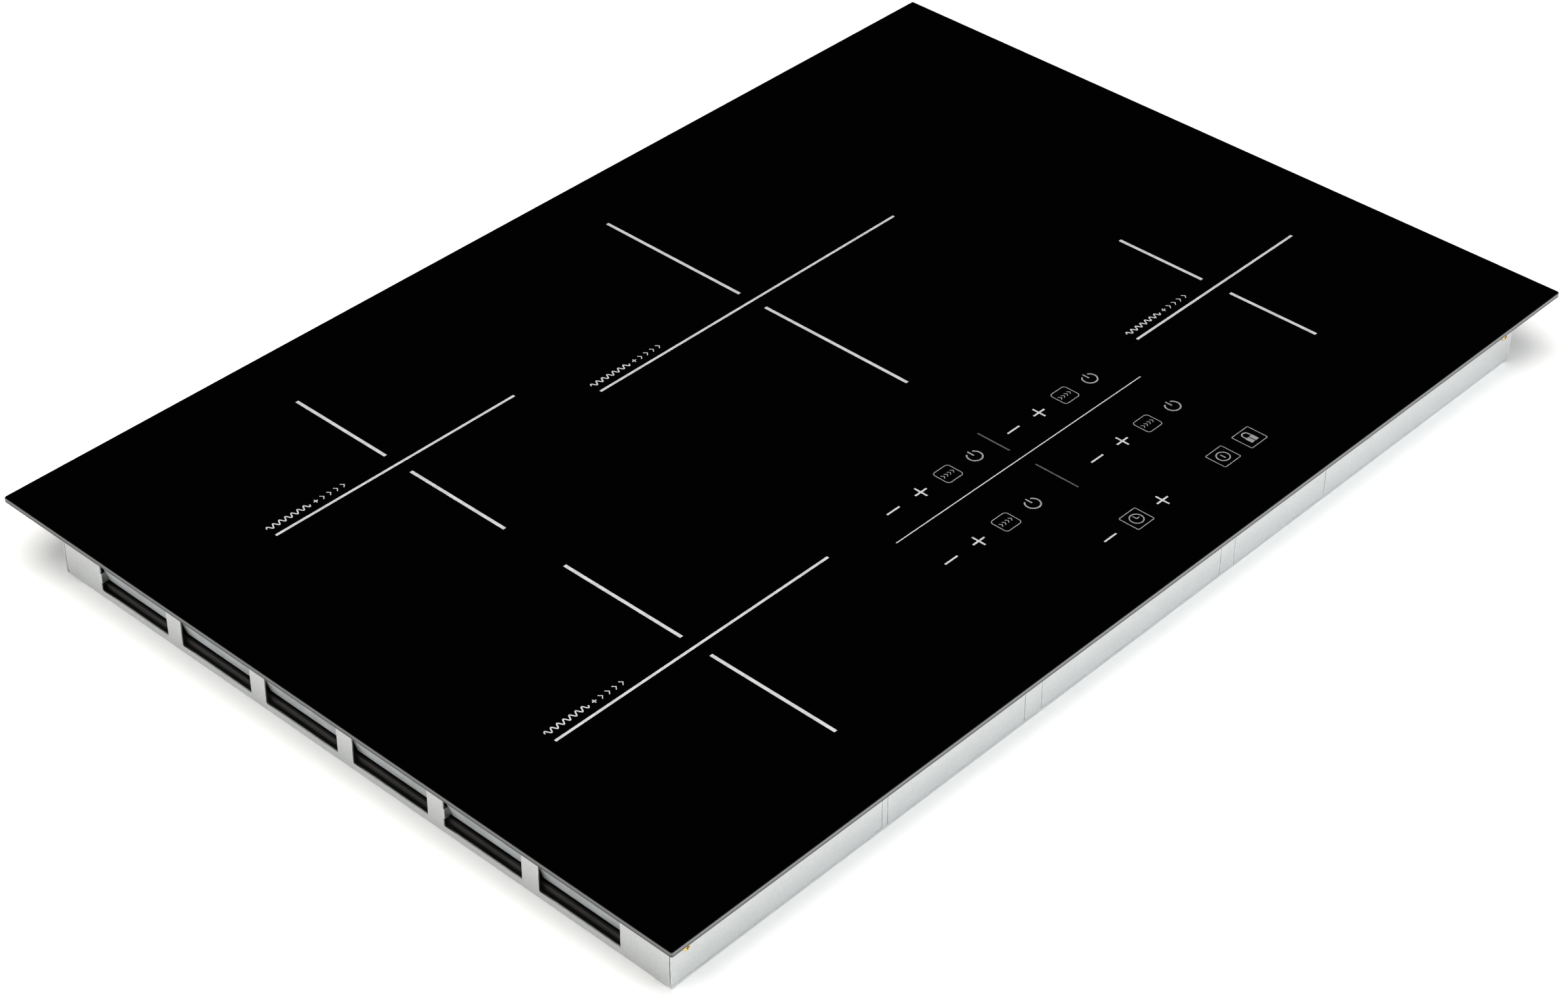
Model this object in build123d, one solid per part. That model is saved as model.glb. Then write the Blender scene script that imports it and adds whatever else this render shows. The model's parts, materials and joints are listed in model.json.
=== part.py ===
from build123d import *
import os
from math import cos, radians, sin, sqrt

# Built-in electric induction cooktop: a glass-ceramic top bonded to a frame, over a folded sheet-metal
# tray that holds the coils, two inverter boards, two blowers, the mains filter and the touch controls.
# Millimetres, +Z up, +Y to the back, origin under the middle of the glass on the face the tray stands on.

os.makedirs("parts", exist_ok=True)

# ---- driving dimensions -------------------------------------------------------------------------
GLASS_X = 770.0
GLASS_Y = 520.0
GLASS_T = 4.0
GLASS_CORNER = 1.2
GLASS_ARRIS = 0.6
HEIGHT = 51.5
SEAL_T = 1.0
SEAL_W = 10.5
TAPE_T = 1.5
TAPE_W = 8.0
TAPE_INSET = 3.0

SHEET = 0.8
BEND_R = 2.5
TRAY_HALF_X = 367.5
TRAY_FRONT = -242.0
TRAY_REAR = 235.0
TRAY_TOP = 47.0
FLAP_GAP = 0.45
RELIEF_LENGTH = 11.5
RELIEF_HEIGHT = 1.5
FLAP_CORNER = 3.5

WINDOW_COUNT = 6
WINDOW_PITCH = 70.2
WINDOW_MIDDLE = -2.3
WINDOW_LENGTH = 58.0
WINDOW_SILL = 6.0
WINDOW_HEAD = 38.0
WINDOW_CORNER = 0.4
TAB_WINDOWS = (1, 5)
TAB_SILL = 11.3
TAB_HEAD = 18.0
TAB_DEPTH = 6.0

FRAME_SCREW_X = 357.5
FRAME_SCREW_Z = 24.0
FRAME_SCREW_HOLE = 1.5
PLATE_TOP = 21.5
PLATE_T = 1.0
TONGUE_RUN = 3.5
TONGUE_DROP = 10.6
TONGUE_BEYOND = 1.6

CARRIER_Z = 1.8
CARRIER_T = 1.4
CARRIER_RIM = 9.0
BOARD_Z = 5.0
BOARD_T = 1.6

# name: centre x, centre y, outer radius of the winding
COILS = {
    "rear_left": (-213.7, 122.8, 82.5),
    "front_left": (-213.7, -110.9, 95.0),
    "rear_centre": (42.7, 89.4, 117.5),
    "front_right": (246.8, -104.8, 70.0),
}
# where each coil's two leads drop through the coil plate
LEAD_EXITS = {
    "rear_left": (-335.0, 95.0),
    "front_left": (-335.0, -95.0),
    "rear_centre": (335.0, 88.0),
    "front_right": (335.0, -102.0),
}
SIDES = ("left", "right")
BLOWER_X = -72.0
BLOWER_Y = 14.0
POSTS = [(x, y) for x in (-340.0, -115.0, 115.0, 340.0) for y in (-228.0, 221.0)]
POSTS += [(0.0, -100.0), (0.0, 93.0)]

# heights and middles worked out from the driving dimensions
GLASS_Z = HEIGHT - GLASS_T
SEAL_Z = GLASS_Z - SEAL_T
PLATE_Z = PLATE_TOP - PLATE_T
TRAY_MIDDLE_Y = (TRAY_FRONT + TRAY_REAR) / 2
CARRIER_TOP = CARRIER_Z + CARRIER_T
BOARD_TOP = BOARD_Z + BOARD_T
CUT = 1.0


# ---- helpers ------------------------------------------------------------------------------------
def block(x0, x1, y0, y1, z0, z1):
    """A rectangular block between two opposite corners."""
    return Pos((x0 + x1) / 2, (y0 + y1) / 2, (z0 + z1) / 2) * Box(x1 - x0, y1 - y0, z1 - z0)


def post(x, y, z0, z1, radius):
    """An upright cylinder from z0 to z1."""
    return Pos(x, y, (z0 + z1) / 2) * Cylinder(radius, z1 - z0)


def tube(x, y, z0, z1, outer, inner):
    """An upright tube."""
    return post(x, y, z0, z1, outer) - post(x, y, z0 - CUT, z1 + CUT, inner)


def rod_y(x, z, y0, y1, radius):
    """A cylinder lying along Y."""
    return Pos(x, (y0 + y1) / 2, z) * Rot(90, 0, 0) * Cylinder(radius, y1 - y0)


def group(pieces):
    """Several separate solids as one shape."""
    return Compound([piece for shape in pieces for piece in shape.solids()])


def half_turn(shape):
    """The same shape turned by 180 degrees about the tray's middle, for the right-hand unit."""
    about = Axis((0, TRAY_MIDDLE_Y, 0), (0, 0, 1))
    return shape.rotate(about, 180)


def turned(x, y):
    """A point of the left-hand unit, moved to the right-hand unit."""
    return -x, 2 * TRAY_MIDDLE_Y - y


def window_middles():
    """Y of the middle of each side window, from the back to the front."""
    half = (WINDOW_COUNT - 1) / 2
    return [WINDOW_MIDDLE + WINDOW_PITCH * (half - i) for i in range(WINDOW_COUNT)]


# ---- glass, seal and frame ----------------------------------------------------------------------
def make_glass_top():
    """Glass-ceramic sheet with ground edges."""
    slab = Pos(0, 0, GLASS_Z) * extrude(RectangleRounded(GLASS_X, GLASS_Y, GLASS_CORNER), GLASS_T)
    levels = slab.edges().group_by(Axis.Z)
    return chamfer(levels[0] + levels[-1], GLASS_ARRIS)


def inside_tray(gap):
    """X half width, front y and rear y at a gap inside the tray's walls."""
    return TRAY_HALF_X - SHEET - gap, TRAY_FRONT + SHEET + gap, TRAY_REAR - SHEET - gap


def ring(gap, width, z0, z1):
    """A rectangular ring just inside the tray's walls."""
    half, front, rear = inside_tray(gap)
    outer = block(-half, half, front, rear, z0, z1)
    hole = block(-half + width, half - width, front + width, rear - width, z0 - CUT, z1 + CUT)
    return outer - hole


def make_rim_tape():
    """Foam tape under the glass's rim, outside the tray, that seals the top against the worktop."""
    half_x, half_y = GLASS_X / 2 - TAPE_INSET, GLASS_Y / 2 - TAPE_INSET
    z0 = GLASS_Z - TAPE_T
    outer = block(-half_x, half_x, -half_y, half_y, z0, GLASS_Z)
    return outer - block(TAPE_W - half_x, half_x - TAPE_W, TAPE_W - half_y, half_y - TAPE_W, z0 - CUT, GLASS_Z + CUT)


def make_glass_seal():
    """Silicone bead between the glass and its frame, and the tape around the tray."""
    return group([ring(0.7, SEAL_W, SEAL_Z, GLASS_Z), make_rim_tape()])


def make_glass_frame():
    """Angle frame bonded under the glass; four ears reach down to the screws in the tray's walls."""
    leg_bottom = SEAL_Z - 9.0
    ear_half = 7.0
    frame = ring(0.2, 12.0, SEAL_Z - SHEET, SEAL_Z) + ring(0.2, SHEET, leg_bottom, SEAL_Z)
    half, front, rear = inside_tray(0.2)
    for x in (-FRAME_SCREW_X, FRAME_SCREW_X):
        left, right = max(x - ear_half, -half), min(x + ear_half, half)
        for y0, y1 in ((front, front + SHEET), (rear - SHEET, rear)):
            frame += block(left, right, y0, y1, FRAME_SCREW_Z - 2.4, leg_bottom)
        frame -= rod_y(x, FRAME_SCREW_Z, TRAY_FRONT, TRAY_REAR, FRAME_SCREW_HOLE)
    return frame


def pan_screw(x, z, y_face, outward):
    """Pan-head screw lying along Y: the head's flat sits on y_face, the shank points inside."""
    head_r, head_h, shank_r, length = 2.5, 1.7, 1.45, 7.0
    head = rod_y(x, z, min(y_face, y_face + outward * head_h), max(y_face, y_face + outward * head_h), head_r)
    rim = head.edges().filter_by(GeomType.CIRCLE).sort_by(Axis.Y)
    head = fillet(rim[0] if outward < 0 else rim[-1], 1.0)
    far = y_face - outward * length
    shank = rod_y(x, z, min(y_face, far), max(y_face, far), shank_r)
    cross_y = y_face + outward * head_h
    arm, slit, sunk = 1.4, 0.35, 0.9
    cross = block(x - arm, x + arm, cross_y - sunk, cross_y + sunk, z - slit, z + slit)
    cross += block(x - slit, x + slit, cross_y - sunk, cross_y + sunk, z - arm, z + arm)
    return head + shank - cross


def make_frame_screws():
    """Four screws that hold the glass frame in the tray, two in the front wall and two in the rear."""
    screws = []
    for x in (-FRAME_SCREW_X, FRAME_SCREW_X):
        screws.append(pan_screw(x, FRAME_SCREW_Z, TRAY_FRONT, -1))
        screws.append(pan_screw(x, FRAME_SCREW_Z, TRAY_REAR, 1))
    return group(screws)


# ---- tray ---------------------------------------------------------------------------------------
CARRIER_SCREWS = [(-356.0, -120.0), (-356.0, 113.0), (-14.0, -140.0), (-14.0, 133.0)]
COVER_X = 293.0
COVER_HALF = 55.0
COVER_Z0 = 3.5
COVER_Z1 = 39.0
COVER_SCREW_DX = 49.5
COVER_SCREW_Z = 27.0
GLAND_X = 265.0
GLAND_Z = 15.5
EARTH_STUD = (237.0, 205.0)


def carrier_screw_points():
    return CARRIER_SCREWS + [turned(*point) for point in CARRIER_SCREWS]


def folded_pan():
    """Base and four walls of one sheet, with the bend's radius along the base."""
    outer = block(-TRAY_HALF_X, TRAY_HALF_X, TRAY_FRONT, TRAY_REAR, 0, TRAY_TOP)
    outer = fillet(outer.edges().group_by(Axis.Z)[0], BEND_R)
    half, front, rear = inside_tray(0.0)
    inner = block(-half, half, front, rear, SHEET, TRAY_TOP + CUT)
    inner = fillet(inner.edges().group_by(Axis.Z)[0], BEND_R - SHEET)
    return outer - inner


def corner_relief():
    """Gap between the left flap and the front wall, with the rounded notch at the bend."""
    x0, x1 = -TRAY_HALF_X - CUT, -TRAY_HALF_X + BEND_R
    y0 = TRAY_FRONT + SHEET
    y1 = y0 + FLAP_GAP
    slot = block(x0, x1, y0, y1, -CUT, TRAY_TOP + CUT)
    notch = block(x0, x1, y0, y1 + RELIEF_LENGTH, -CUT, RELIEF_HEIGHT)
    corner = block(x0, x1, y1, y1 + FLAP_CORNER, RELIEF_HEIGHT, RELIEF_HEIGHT + FLAP_CORNER)
    arc_centre = Pos((x0 + x1) / 2, y1 + FLAP_CORNER, RELIEF_HEIGHT + FLAP_CORNER)
    corner -= arc_centre * Rot(0, 90, 0) * Cylinder(FLAP_CORNER, x1 - x0 + CUT)
    return slot + notch + corner


def all_corner_reliefs():
    front_left = corner_relief()
    rear_left = front_left.mirror(Plane.XZ.offset(-TRAY_MIDDLE_Y))
    left = [front_left, rear_left]
    return left + [cut.mirror(Plane.YZ) for cut in left]


def side_windows():
    """Six air windows in each side wall."""
    cuts = []
    height = WINDOW_HEAD - WINDOW_SILL
    outline = RectangleRounded(WINDOW_LENGTH, height, WINDOW_CORNER)
    for side in (-1, 1):
        for y in window_middles():
            wall = Plane((side * TRAY_HALF_X, y, WINDOW_SILL + height / 2), x_dir=(0, 1, 0), z_dir=(1, 0, 0))
            cuts.append(extrude(wall * outline, 2 * SHEET, both=True))
    return cuts


def window_tabs():
    """Small tabs bent inward at the rear edge of the first and fifth window of each side."""
    tabs = []
    for number in TAB_WINDOWS:
        rear_edge = window_middles()[number - 1] + WINDOW_LENGTH / 2
        for side in (-1, 1):
            x0, x1 = sorted((side * TRAY_HALF_X, side * (TRAY_HALF_X - TAB_DEPTH)))
            tabs.append(block(x0, x1, rear_edge - SHEET, rear_edge + 0.3, TAB_SILL, TAB_HEAD))
    return tabs


def front_creases():
    """Faint upright press lines in the front wall, alone or in pairs, and the line that the bend leaves."""
    depth, half_width, bend_line = 0.25, 0.35, 3.4
    y0, y1 = TRAY_FRONT - CUT, TRAY_FRONT + depth
    middles = (-212.6, -208.3, -97.7, -83.5, 74.5, 87.7, 174.4)
    creases = [block(x - half_width, x + half_width, y0, y1, bend_line, TRAY_TOP + CUT) for x in middles]
    creases.append(block(-TRAY_HALF_X - CUT, TRAY_HALF_X + CUT, y0, TRAY_FRONT + 0.1, bend_line, bend_line + 0.3))
    return creases


def intake_grille(x, y):
    """Parallel slots inside a circle, through the base under a blower."""
    radius, pitch, width = 31.0, 6.5, 3.5
    slots = []
    for k in range(-4, 5):
        length = 2 * sqrt(radius ** 2 - (pitch * k) ** 2)
        slots.append(Pos(x, y + pitch * k, -CUT) * extrude(SlotOverall(length, width), 2 * CUT + SHEET))
    return slots


def base_louvres():
    """Two fields of short slots through the base and the carriers, near the front."""
    slots = []
    for side in (-1, 1):
        for i in range(9):
            for y in (-190.0, -150.0):
                spot = Pos(side * (170.0 + 18.0 * i), y, -CUT) * Rot(0, 0, 90)
                slots.append(spot * extrude(SlotOverall(30.0, 4.0), CARRIER_TOP + 2 * CUT))
    return slots


def base_beads():
    """Stiffening beads pressed upward into the base: outside slots, and the ridges they make inside."""
    outside, ridges = [], []
    places = [(side * 245.0, y) for side in (-1, 1) for y in (-90.0, 60.0, 170.0)] + [(0.0, -170.0), (0.0, 160.0)]
    for x, y in places:
        length = 180.0 if x else 120.0
        outside.append(Pos(x, y, -CUT) * extrude(SlotOverall(length, 10.0), SHEET + CUT))
        ridges.append(Pos(x, y, SHEET) * extrude(SlotOverall(length + 2 * SHEET, 10.0 + 2 * SHEET), SHEET))
    return outside, ridges


def rear_wall_cuts():
    """Service opening behind the terminal cover, and the cover's two screw holes."""
    cuts = [block(COVER_X - 42, COVER_X + 42, TRAY_REAR - 2, TRAY_REAR + 2, COVER_Z0 + 2.5, COVER_Z1 - 3)]
    for dx in (-COVER_SCREW_DX, COVER_SCREW_DX):
        cuts.append(rod_y(COVER_X + dx, COVER_SCREW_Z, TRAY_REAR - 2, TRAY_REAR + 2, 1.55))
    return cuts


def make_tray():
    outside, ridges = base_beads()
    tray = folded_pan() + ridges
    tray -= outside
    tray -= all_corner_reliefs() + side_windows() + front_creases() + rear_wall_cuts()
    tray += window_tabs()
    for x in (-FRAME_SCREW_X, FRAME_SCREW_X):
        tray -= rod_y(x, FRAME_SCREW_Z, TRAY_FRONT - CUT, TRAY_REAR + CUT, FRAME_SCREW_HOLE)
    tray -= intake_grille(BLOWER_X, BLOWER_Y) + intake_grille(*turned(BLOWER_X, BLOWER_Y))
    tray -= base_louvres()
    return tray - [post(x, y, -CUT, SHEET + CUT, 1.55) for x, y in carrier_screw_points()]


def make_plate_posts():
    """Threaded posts riveted to the base that carry the coil plate."""
    return group([tube(x, y, SHEET, PLATE_Z, 4.0, 1.4) for x, y in POSTS])


# ---- terminal cover, gland and mains side -------------------------------------------------------
def make_terminal_cover():
    x0, x1 = COVER_X - COVER_HALF, COVER_X + COVER_HALF
    cover = block(x0, x1, TRAY_REAR, TRAY_REAR + SHEET, COVER_Z0, COVER_Z1)
    cover = fillet(cover.edges().filter_by(Axis.Y), 3.0)
    for dx in (-COVER_SCREW_DX, COVER_SCREW_DX):
        cover -= rod_y(COVER_X + dx, COVER_SCREW_Z, TRAY_REAR - CUT, TRAY_REAR + 2, 1.6)
    return cover - rod_y(GLAND_X, GLAND_Z, TRAY_REAR - CUT, TRAY_REAR + 2, 9.05)


def make_cover_screws():
    screws = []
    for dx in (-COVER_SCREW_DX, COVER_SCREW_DX):
        x = COVER_X + dx
        y = TRAY_REAR + SHEET
        head = rod_y(x, COVER_SCREW_Z, y, y + 2.0, 3.2)
        head = fillet(head.edges().filter_by(GeomType.CIRCLE).sort_by(Axis.Y)[-1], 1.0)
        screw = head + rod_y(x, COVER_SCREW_Z, y - 7, y, 1.45)
        screws.append(screw - block(x - 2.0, x + 2.0, y + 1.1, y + 3, COVER_SCREW_Z - 0.4, COVER_SCREW_Z + 0.4))
    return group(screws)


def make_cable_gland():
    """Strain-relief bush in the terminal cover; the mains cable passes its bore."""
    y = TRAY_REAR + SHEET
    gland = rod_y(GLAND_X, GLAND_Z, y - 9, y + 2.5, 9.0) + rod_y(GLAND_X, GLAND_Z, y, y + 2.5, 11.5)
    gland += rod_y(GLAND_X, GLAND_Z, y + 2.5, y + 9, 8.0)
    return gland - rod_y(GLAND_X, GLAND_Z, y - 12, y + 12, 5.5)


TERMINAL_X0 = 250.0
TERMINAL_X1 = 330.0
TERMINAL_Y0 = 186.0
TERMINAL_Y1 = 212.0
TERMINAL_TOP = 18.0
TERMINAL_COUNT = 5


def terminal_xs():
    pitch = (TERMINAL_X1 - TERMINAL_X0) / TERMINAL_COUNT
    return [TERMINAL_X0 + pitch * (i + 0.5) for i in range(TERMINAL_COUNT)]


def make_terminal_block():
    body = block(TERMINAL_X0, TERMINAL_X1, TERMINAL_Y0, TERMINAL_Y1, CARRIER_TOP, TERMINAL_TOP)
    middle = (TERMINAL_Y0 + TERMINAL_Y1) / 2
    for x in terminal_xs():
        body -= block(x - 5, x + 5, TERMINAL_Y0 - CUT, TERMINAL_Y1 + CUT, 9.0, 14.0)
        body -= post(x, middle, 14.0, TERMINAL_TOP + CUT, 3.6)
    return body


def make_terminal_clamps():
    """Brass clamp bars and their screws in the terminal block."""
    pieces = []
    middle = (TERMINAL_Y0 + TERMINAL_Y1) / 2
    for x in terminal_xs():
        bar = block(x - 4.5, x + 4.5, TERMINAL_Y0 + 1, TERMINAL_Y1 - 1, 9.5, 11.0)
        screw = post(x, middle, 11.0, 14.0, 2.0) + post(x, middle, 14.0, 16.8, 3.3)
        screw -= block(x - 3, x + 3, middle - 0.5, middle + 0.5, 15.6, 18)
        pieces.append(bar + screw)
    return group(pieces)


def make_earth_stud():
    """Earth stud with its nut and washer, welded to the base beside the terminals."""
    x, y = EARTH_STUD
    stud = post(x, y, SHEET, 13.0, 2.0)
    washer = post(x, y, 4.5, 5.3, 5.0)
    nut = Pos(x, y, 5.3) * extrude(RegularPolygon(4.0, 6), 3.2)
    return stud + washer + nut


# ---- coil plate and coils -----------------------------------------------------------------------
RIBBON_X = 128.0
RIBBON_Y = -104.0
RIBBON_RUN = 26.0


def tongue_profile(side):
    """Sloping tongue at the coil plate's edge, seen along Y."""
    x_edge = TRAY_HALF_X - SHEET - 0.7
    points = [(x_edge, PLATE_TOP), (x_edge - TONGUE_RUN, PLATE_TOP - TONGUE_DROP),
              (x_edge - TONGUE_RUN - 1.15, PLATE_TOP - TONGUE_DROP), (x_edge - 1.75, PLATE_Z),
              (x_edge - 4.0, PLATE_Z), (x_edge - 4.0, PLATE_TOP)]
    return [(side * x, z) for x, z in points]


def make_coil_plate():
    """Aluminium plate between the coils and the electronics, with a tongue behind each window."""
    half, front, rear = inside_tray(0.7)
    front, rear = front + 1.0, rear - 1.0
    plate = block(-half + 3, half - 3, front, rear, PLATE_Z, PLATE_TOP)
    for side in (-1, 1):
        profile = Plane.XZ * make_face(Polyline(tongue_profile(side), close=True))
        for number, y in enumerate(window_middles(), start=1):
            front_end = WINDOW_LENGTH / 2 + TONGUE_BEYOND
            rear_end = WINDOW_LENGTH / 2 - 1.2 if number in TAB_WINDOWS else front_end
            plate += Pos(0, y - front_end, 0) * extrude(profile, -(front_end + rear_end))
    holes = [post(x, y, PLATE_Z - CUT, PLATE_TOP + CUT, 1.7) for x, y in POSTS]
    holes += [post(x, y, PLATE_Z - CUT, PLATE_TOP + CUT, 8.0) for x, y in LEAD_EXITS.values()]
    holes.append(block(GLAND_X - 10.5, GLAND_X + 10.5, 225.0, rear + CUT, PLATE_Z - CUT, PLATE_TOP + CUT))
    slot = SlotOverall(22.0, 5.0)
    holes.append(Pos(RIBBON_X, RIBBON_Y, PLATE_Z - CUT) * Rot(0, 0, 90) * extrude(slot, PLATE_T + 2 * CUT))
    return plate - holes


def make_plate_screws():
    screws = []
    for x, y in POSTS:
        screw = post(x, y, PLATE_TOP, PLATE_TOP + 2.0, 3.0) + post(x, y, PLATE_TOP - 7, PLATE_TOP, 1.35)
        screws.append(screw - block(x - 2, x + 2, y - 0.4, y + 0.4, PLATE_TOP + 1, PLATE_TOP + 3))
    return group(screws)


def make_lead_grommets():
    """Rubber grommets where the coil leads pass the coil plate."""
    grommets = []
    for x, y in LEAD_EXITS.values():
        body = post(x, y, PLATE_Z - 1.5, PLATE_TOP + 1.5, 10.0)
        groove = tube(x, y, PLATE_Z, PLATE_TOP, 12.0, 8.0)
        grommets.append(body - groove - post(x, y, PLATE_Z - 3, PLATE_TOP + 3, 6.5))
    return group(grommets)


COIL_BORE = 22.0
WINDING_T = 5.0
FORMER_T = 2.0
MICA_T = 0.8
FERRITE_T = 4.0
FERRITE_W = 12.0
MICA_Z = GLASS_Z - MICA_T
WINDING_Z = MICA_Z - WINDING_T
FORMER_Z = WINDING_Z - FORMER_T
FERRITE_Z = FORMER_Z - FERRITE_T
FOOT_Z = PLATE_TOP + 6.0
FOOT_R = 5.0
FOOT_ANGLES = (75.0, 195.0, 315.0)


def coil_feet(name):
    """Centres of the three feet under a coil former."""
    x, y, radius = COILS[name]
    reach = radius - 14.0
    return [(x + reach * cos(radians(a)), y + reach * sin(radians(a))) for a in FOOT_ANGLES]


def make_coil_former(name):
    """Plastic spider that holds the winding and the ferrites, on three feet."""
    x, y, radius = COILS[name]
    former = post(x, y, FORMER_Z, WINDING_Z, radius + 2)
    former += tube(x, y, FORMER_Z, MICA_Z, COIL_BORE - 0.5, COIL_BORE - 2.5)
    former -= post(x, y, FORMER_Z - CUT, WINDING_Z + CUT, 9.0)
    former += [post(fx, fy, FOOT_Z, FORMER_Z, FOOT_R) for fx, fy in coil_feet(name)]
    return former


def make_winding(name):
    """Flat winding of litz wire: close rings, joined where they touch."""
    x, y, radius = COILS[name]
    pitch = 5.0
    turns = int((radius - COIL_BORE) / pitch)
    disc = tube(x, y, WINDING_Z, MICA_Z, radius, COIL_BORE)
    depth = 1.2
    for i in range(1, turns):
        r = COIL_BORE + pitch * i
        disc -= tube(x, y, MICA_Z - depth, MICA_Z + CUT, r + 0.6, r - 0.6)
    return disc


def make_ferrites(name):
    """Radial ferrite bars under the former, turned to pass between its feet."""
    x, y, radius = COILS[name]
    count = 6 if radius < 90 else 9
    length = radius - 42.0
    bars = []
    for i in range(count):
        angle = FOOT_ANGLES[0] + 360.0 / count * (i + 0.5)
        bar = Pos(28.0 + length / 2, 0, FERRITE_Z + FERRITE_T / 2) * Box(length, FERRITE_W, FERRITE_T)
        bars.append(Pos(x, y, 0) * Rot(0, 0, angle) * bar)
    return group(bars)


def make_mica(name):
    """Insulating disc between the winding and the glass."""
    x, y, radius = COILS[name]
    return tube(x, y, MICA_Z, GLASS_Z, radius + 3, 12.0)


def make_sensor(name):
    """Temperature sensor under the middle of the zone, on its stem."""
    x, y, _ = COILS[name]
    return post(x, y, GLASS_Z - 3.0, GLASS_Z, 6.0) + post(x, y, FORMER_Z - 4, GLASS_Z - 3.0, 4.0)


def make_coil_springs():
    """Leaf springs between the coil plate and the coil feet: strips arched up in the middle."""
    reach, rise, leaf, width = 14.0, FOOT_Z - PLATE_TOP, 0.5, 8.0
    top = ThreePointArc((-reach, 0), (0, rise), (reach, 0))
    end = Line((reach, 0), (reach - leaf, 0))
    under = ThreePointArc((reach - leaf, 0), (0, rise - leaf), (leaf - reach, 0))
    start = Line((leaf - reach, 0), (-reach, 0))
    profile = Plane.XZ * make_face([top, end, under, start])
    strip = extrude(profile, width / 2, both=True)
    return group([Pos(x, y, PLATE_TOP) * strip for name in COILS for x, y in coil_feet(name)])


# ---- coil leads ---------------------------------------------------------------------------------
LEAD_R = 1.8
LEAD_OFFSET = 2.6
LEAD_LEVEL = 31.0
LEAD_BEND = 6.0
TERMINAL_PIN_TOP = BOARD_TOP + 5.0


def lead_route(name, side):
    """Down from the coil's rim, level to the plate's grommet, and down to the board."""
    x, y, radius = COILS[name]
    exit_point = Vector(*LEAD_EXITS[name])
    along = (exit_point - Vector(x, y)).normalized()
    across = Vector(-along.Y, along.X) * LEAD_OFFSET * side
    start = Vector(x, y) + along * (radius - 4.0) + across
    end = exit_point + across
    points = [(start.X, start.Y, FORMER_Z), (start.X, start.Y, LEAD_LEVEL),
              (end.X, end.Y, LEAD_LEVEL), (end.X, end.Y, TERMINAL_PIN_TOP)]
    return FilletPolyline(*points, radius=LEAD_BEND)


def make_coil_leads():
    leads = []
    for name in COILS:
        for side in (-1, 1):
            route = lead_route(name, side)
            section = Plane(route @ 0, z_dir=route % 0) * Circle(LEAD_R)
            leads.append(sweep(section, path=route))
    return group(leads)


def make_lead_terminals():
    """Brass terminals on the boards, where the coil leads end."""
    return group([block(x - 3, x + 3, y - 7, y + 7, BOARD_TOP, TERMINAL_PIN_TOP) for x, y in LEAD_EXITS.values()])


# ---- electronics carriers and boards ------------------------------------------------------------
CARRIER_X0 = -364.0
CARRIER_X1 = -6.0
CARRIER_HALF_Y = 235.5
BOARD_BOX = (-348.0, -138.0, -112.0, 108.0)
BOARD_SCREWS = [(-342.0, -106.0), (-342.0, 78.0), (-144.0, -106.0), (-144.0, 102.0)]
FILTER_BOX = (148.0, 226.0, 118.0, 222.0)
FILTER_SCREWS = [(153.0, 123.0), (221.0, 123.0), (153.0, 217.0), (221.0, 217.0)]


def plain_carrier():
    """Left-hand black plastic carrier before its openings: a floor with a low rim."""
    y0, y1 = TRAY_MIDDLE_Y - CARRIER_HALF_Y, TRAY_MIDDLE_Y + CARRIER_HALF_Y
    wall = 1.5
    carrier = block(CARRIER_X0, CARRIER_X1, y0, y1, CARRIER_Z, CARRIER_RIM)
    carrier -= block(CARRIER_X0 + wall, CARRIER_X1 - wall, y0 + wall, y1 - wall, CARRIER_TOP, CARRIER_RIM + CUT)
    carrier += [post(x, y, CARRIER_TOP, BOARD_Z, 3.2) for x, y in BOARD_SCREWS]
    holes = [post(x, y, CARRIER_Z - CUT, CARRIER_TOP + CUT, 1.6) for x, y in CARRIER_SCREWS]
    holes += [post(x, y, CARRIER_TOP, BOARD_Z + CUT, 1.2) for x, y in BOARD_SCREWS]
    holes.append(post(BLOWER_X, BLOWER_Y, CARRIER_Z - CUT, CARRIER_TOP + CUT, 32.0))
    return carrier - holes


def make_carrier(side):
    carrier = plain_carrier() if side == "left" else half_turn(plain_carrier())
    holes = [post(x, y, CARRIER_Z - CUT, CARRIER_RIM + CUT, 4.5) for x, y in POSTS if abs(x) > 1]
    carrier -= holes + base_louvres()
    if side == "right":
        carrier += [post(x, y, CARRIER_TOP, BOARD_Z, 3.2) for x, y in FILTER_SCREWS]
        carrier -= [post(x, y, CARRIER_TOP, BOARD_Z + CUT, 1.2) for x, y in FILTER_SCREWS]
        rear = TRAY_MIDDLE_Y + CARRIER_HALF_Y
        carrier -= block(COVER_X - 48, COVER_X + 48, rear - 3, rear + 1, CARRIER_TOP, CARRIER_RIM + CUT)
        carrier -= post(*EARTH_STUD, CARRIER_Z - CUT, CARRIER_TOP + CUT, 6.0)
    return carrier


def carrier_screws():
    """Screws from the carriers into the base, ending flush with its outer face."""
    screws = []
    for x, y in carrier_screw_points():
        screw = post(x, y, CARRIER_TOP, CARRIER_TOP + 1.8, 2.8) + post(x, y, 0.1, CARRIER_TOP, 1.45)
        screws.append(screw - block(x - 2, x + 2, y - 0.4, y + 0.4, CARRIER_TOP + 0.9, CARRIER_TOP + 3))
    return screws


def board(box, screws):
    """A circuit board with holes for its screws."""
    x0, x1, y0, y1 = box
    plain = block(x0, x1, y0, y1, BOARD_Z, BOARD_TOP)
    return plain - [post(x, y, BOARD_Z - CUT, BOARD_TOP + CUT, 1.7) for x, y in screws]


def make_inverter_board(side):
    left = board(BOARD_BOX, BOARD_SCREWS)
    return left if side == "left" else half_turn(left)


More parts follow.
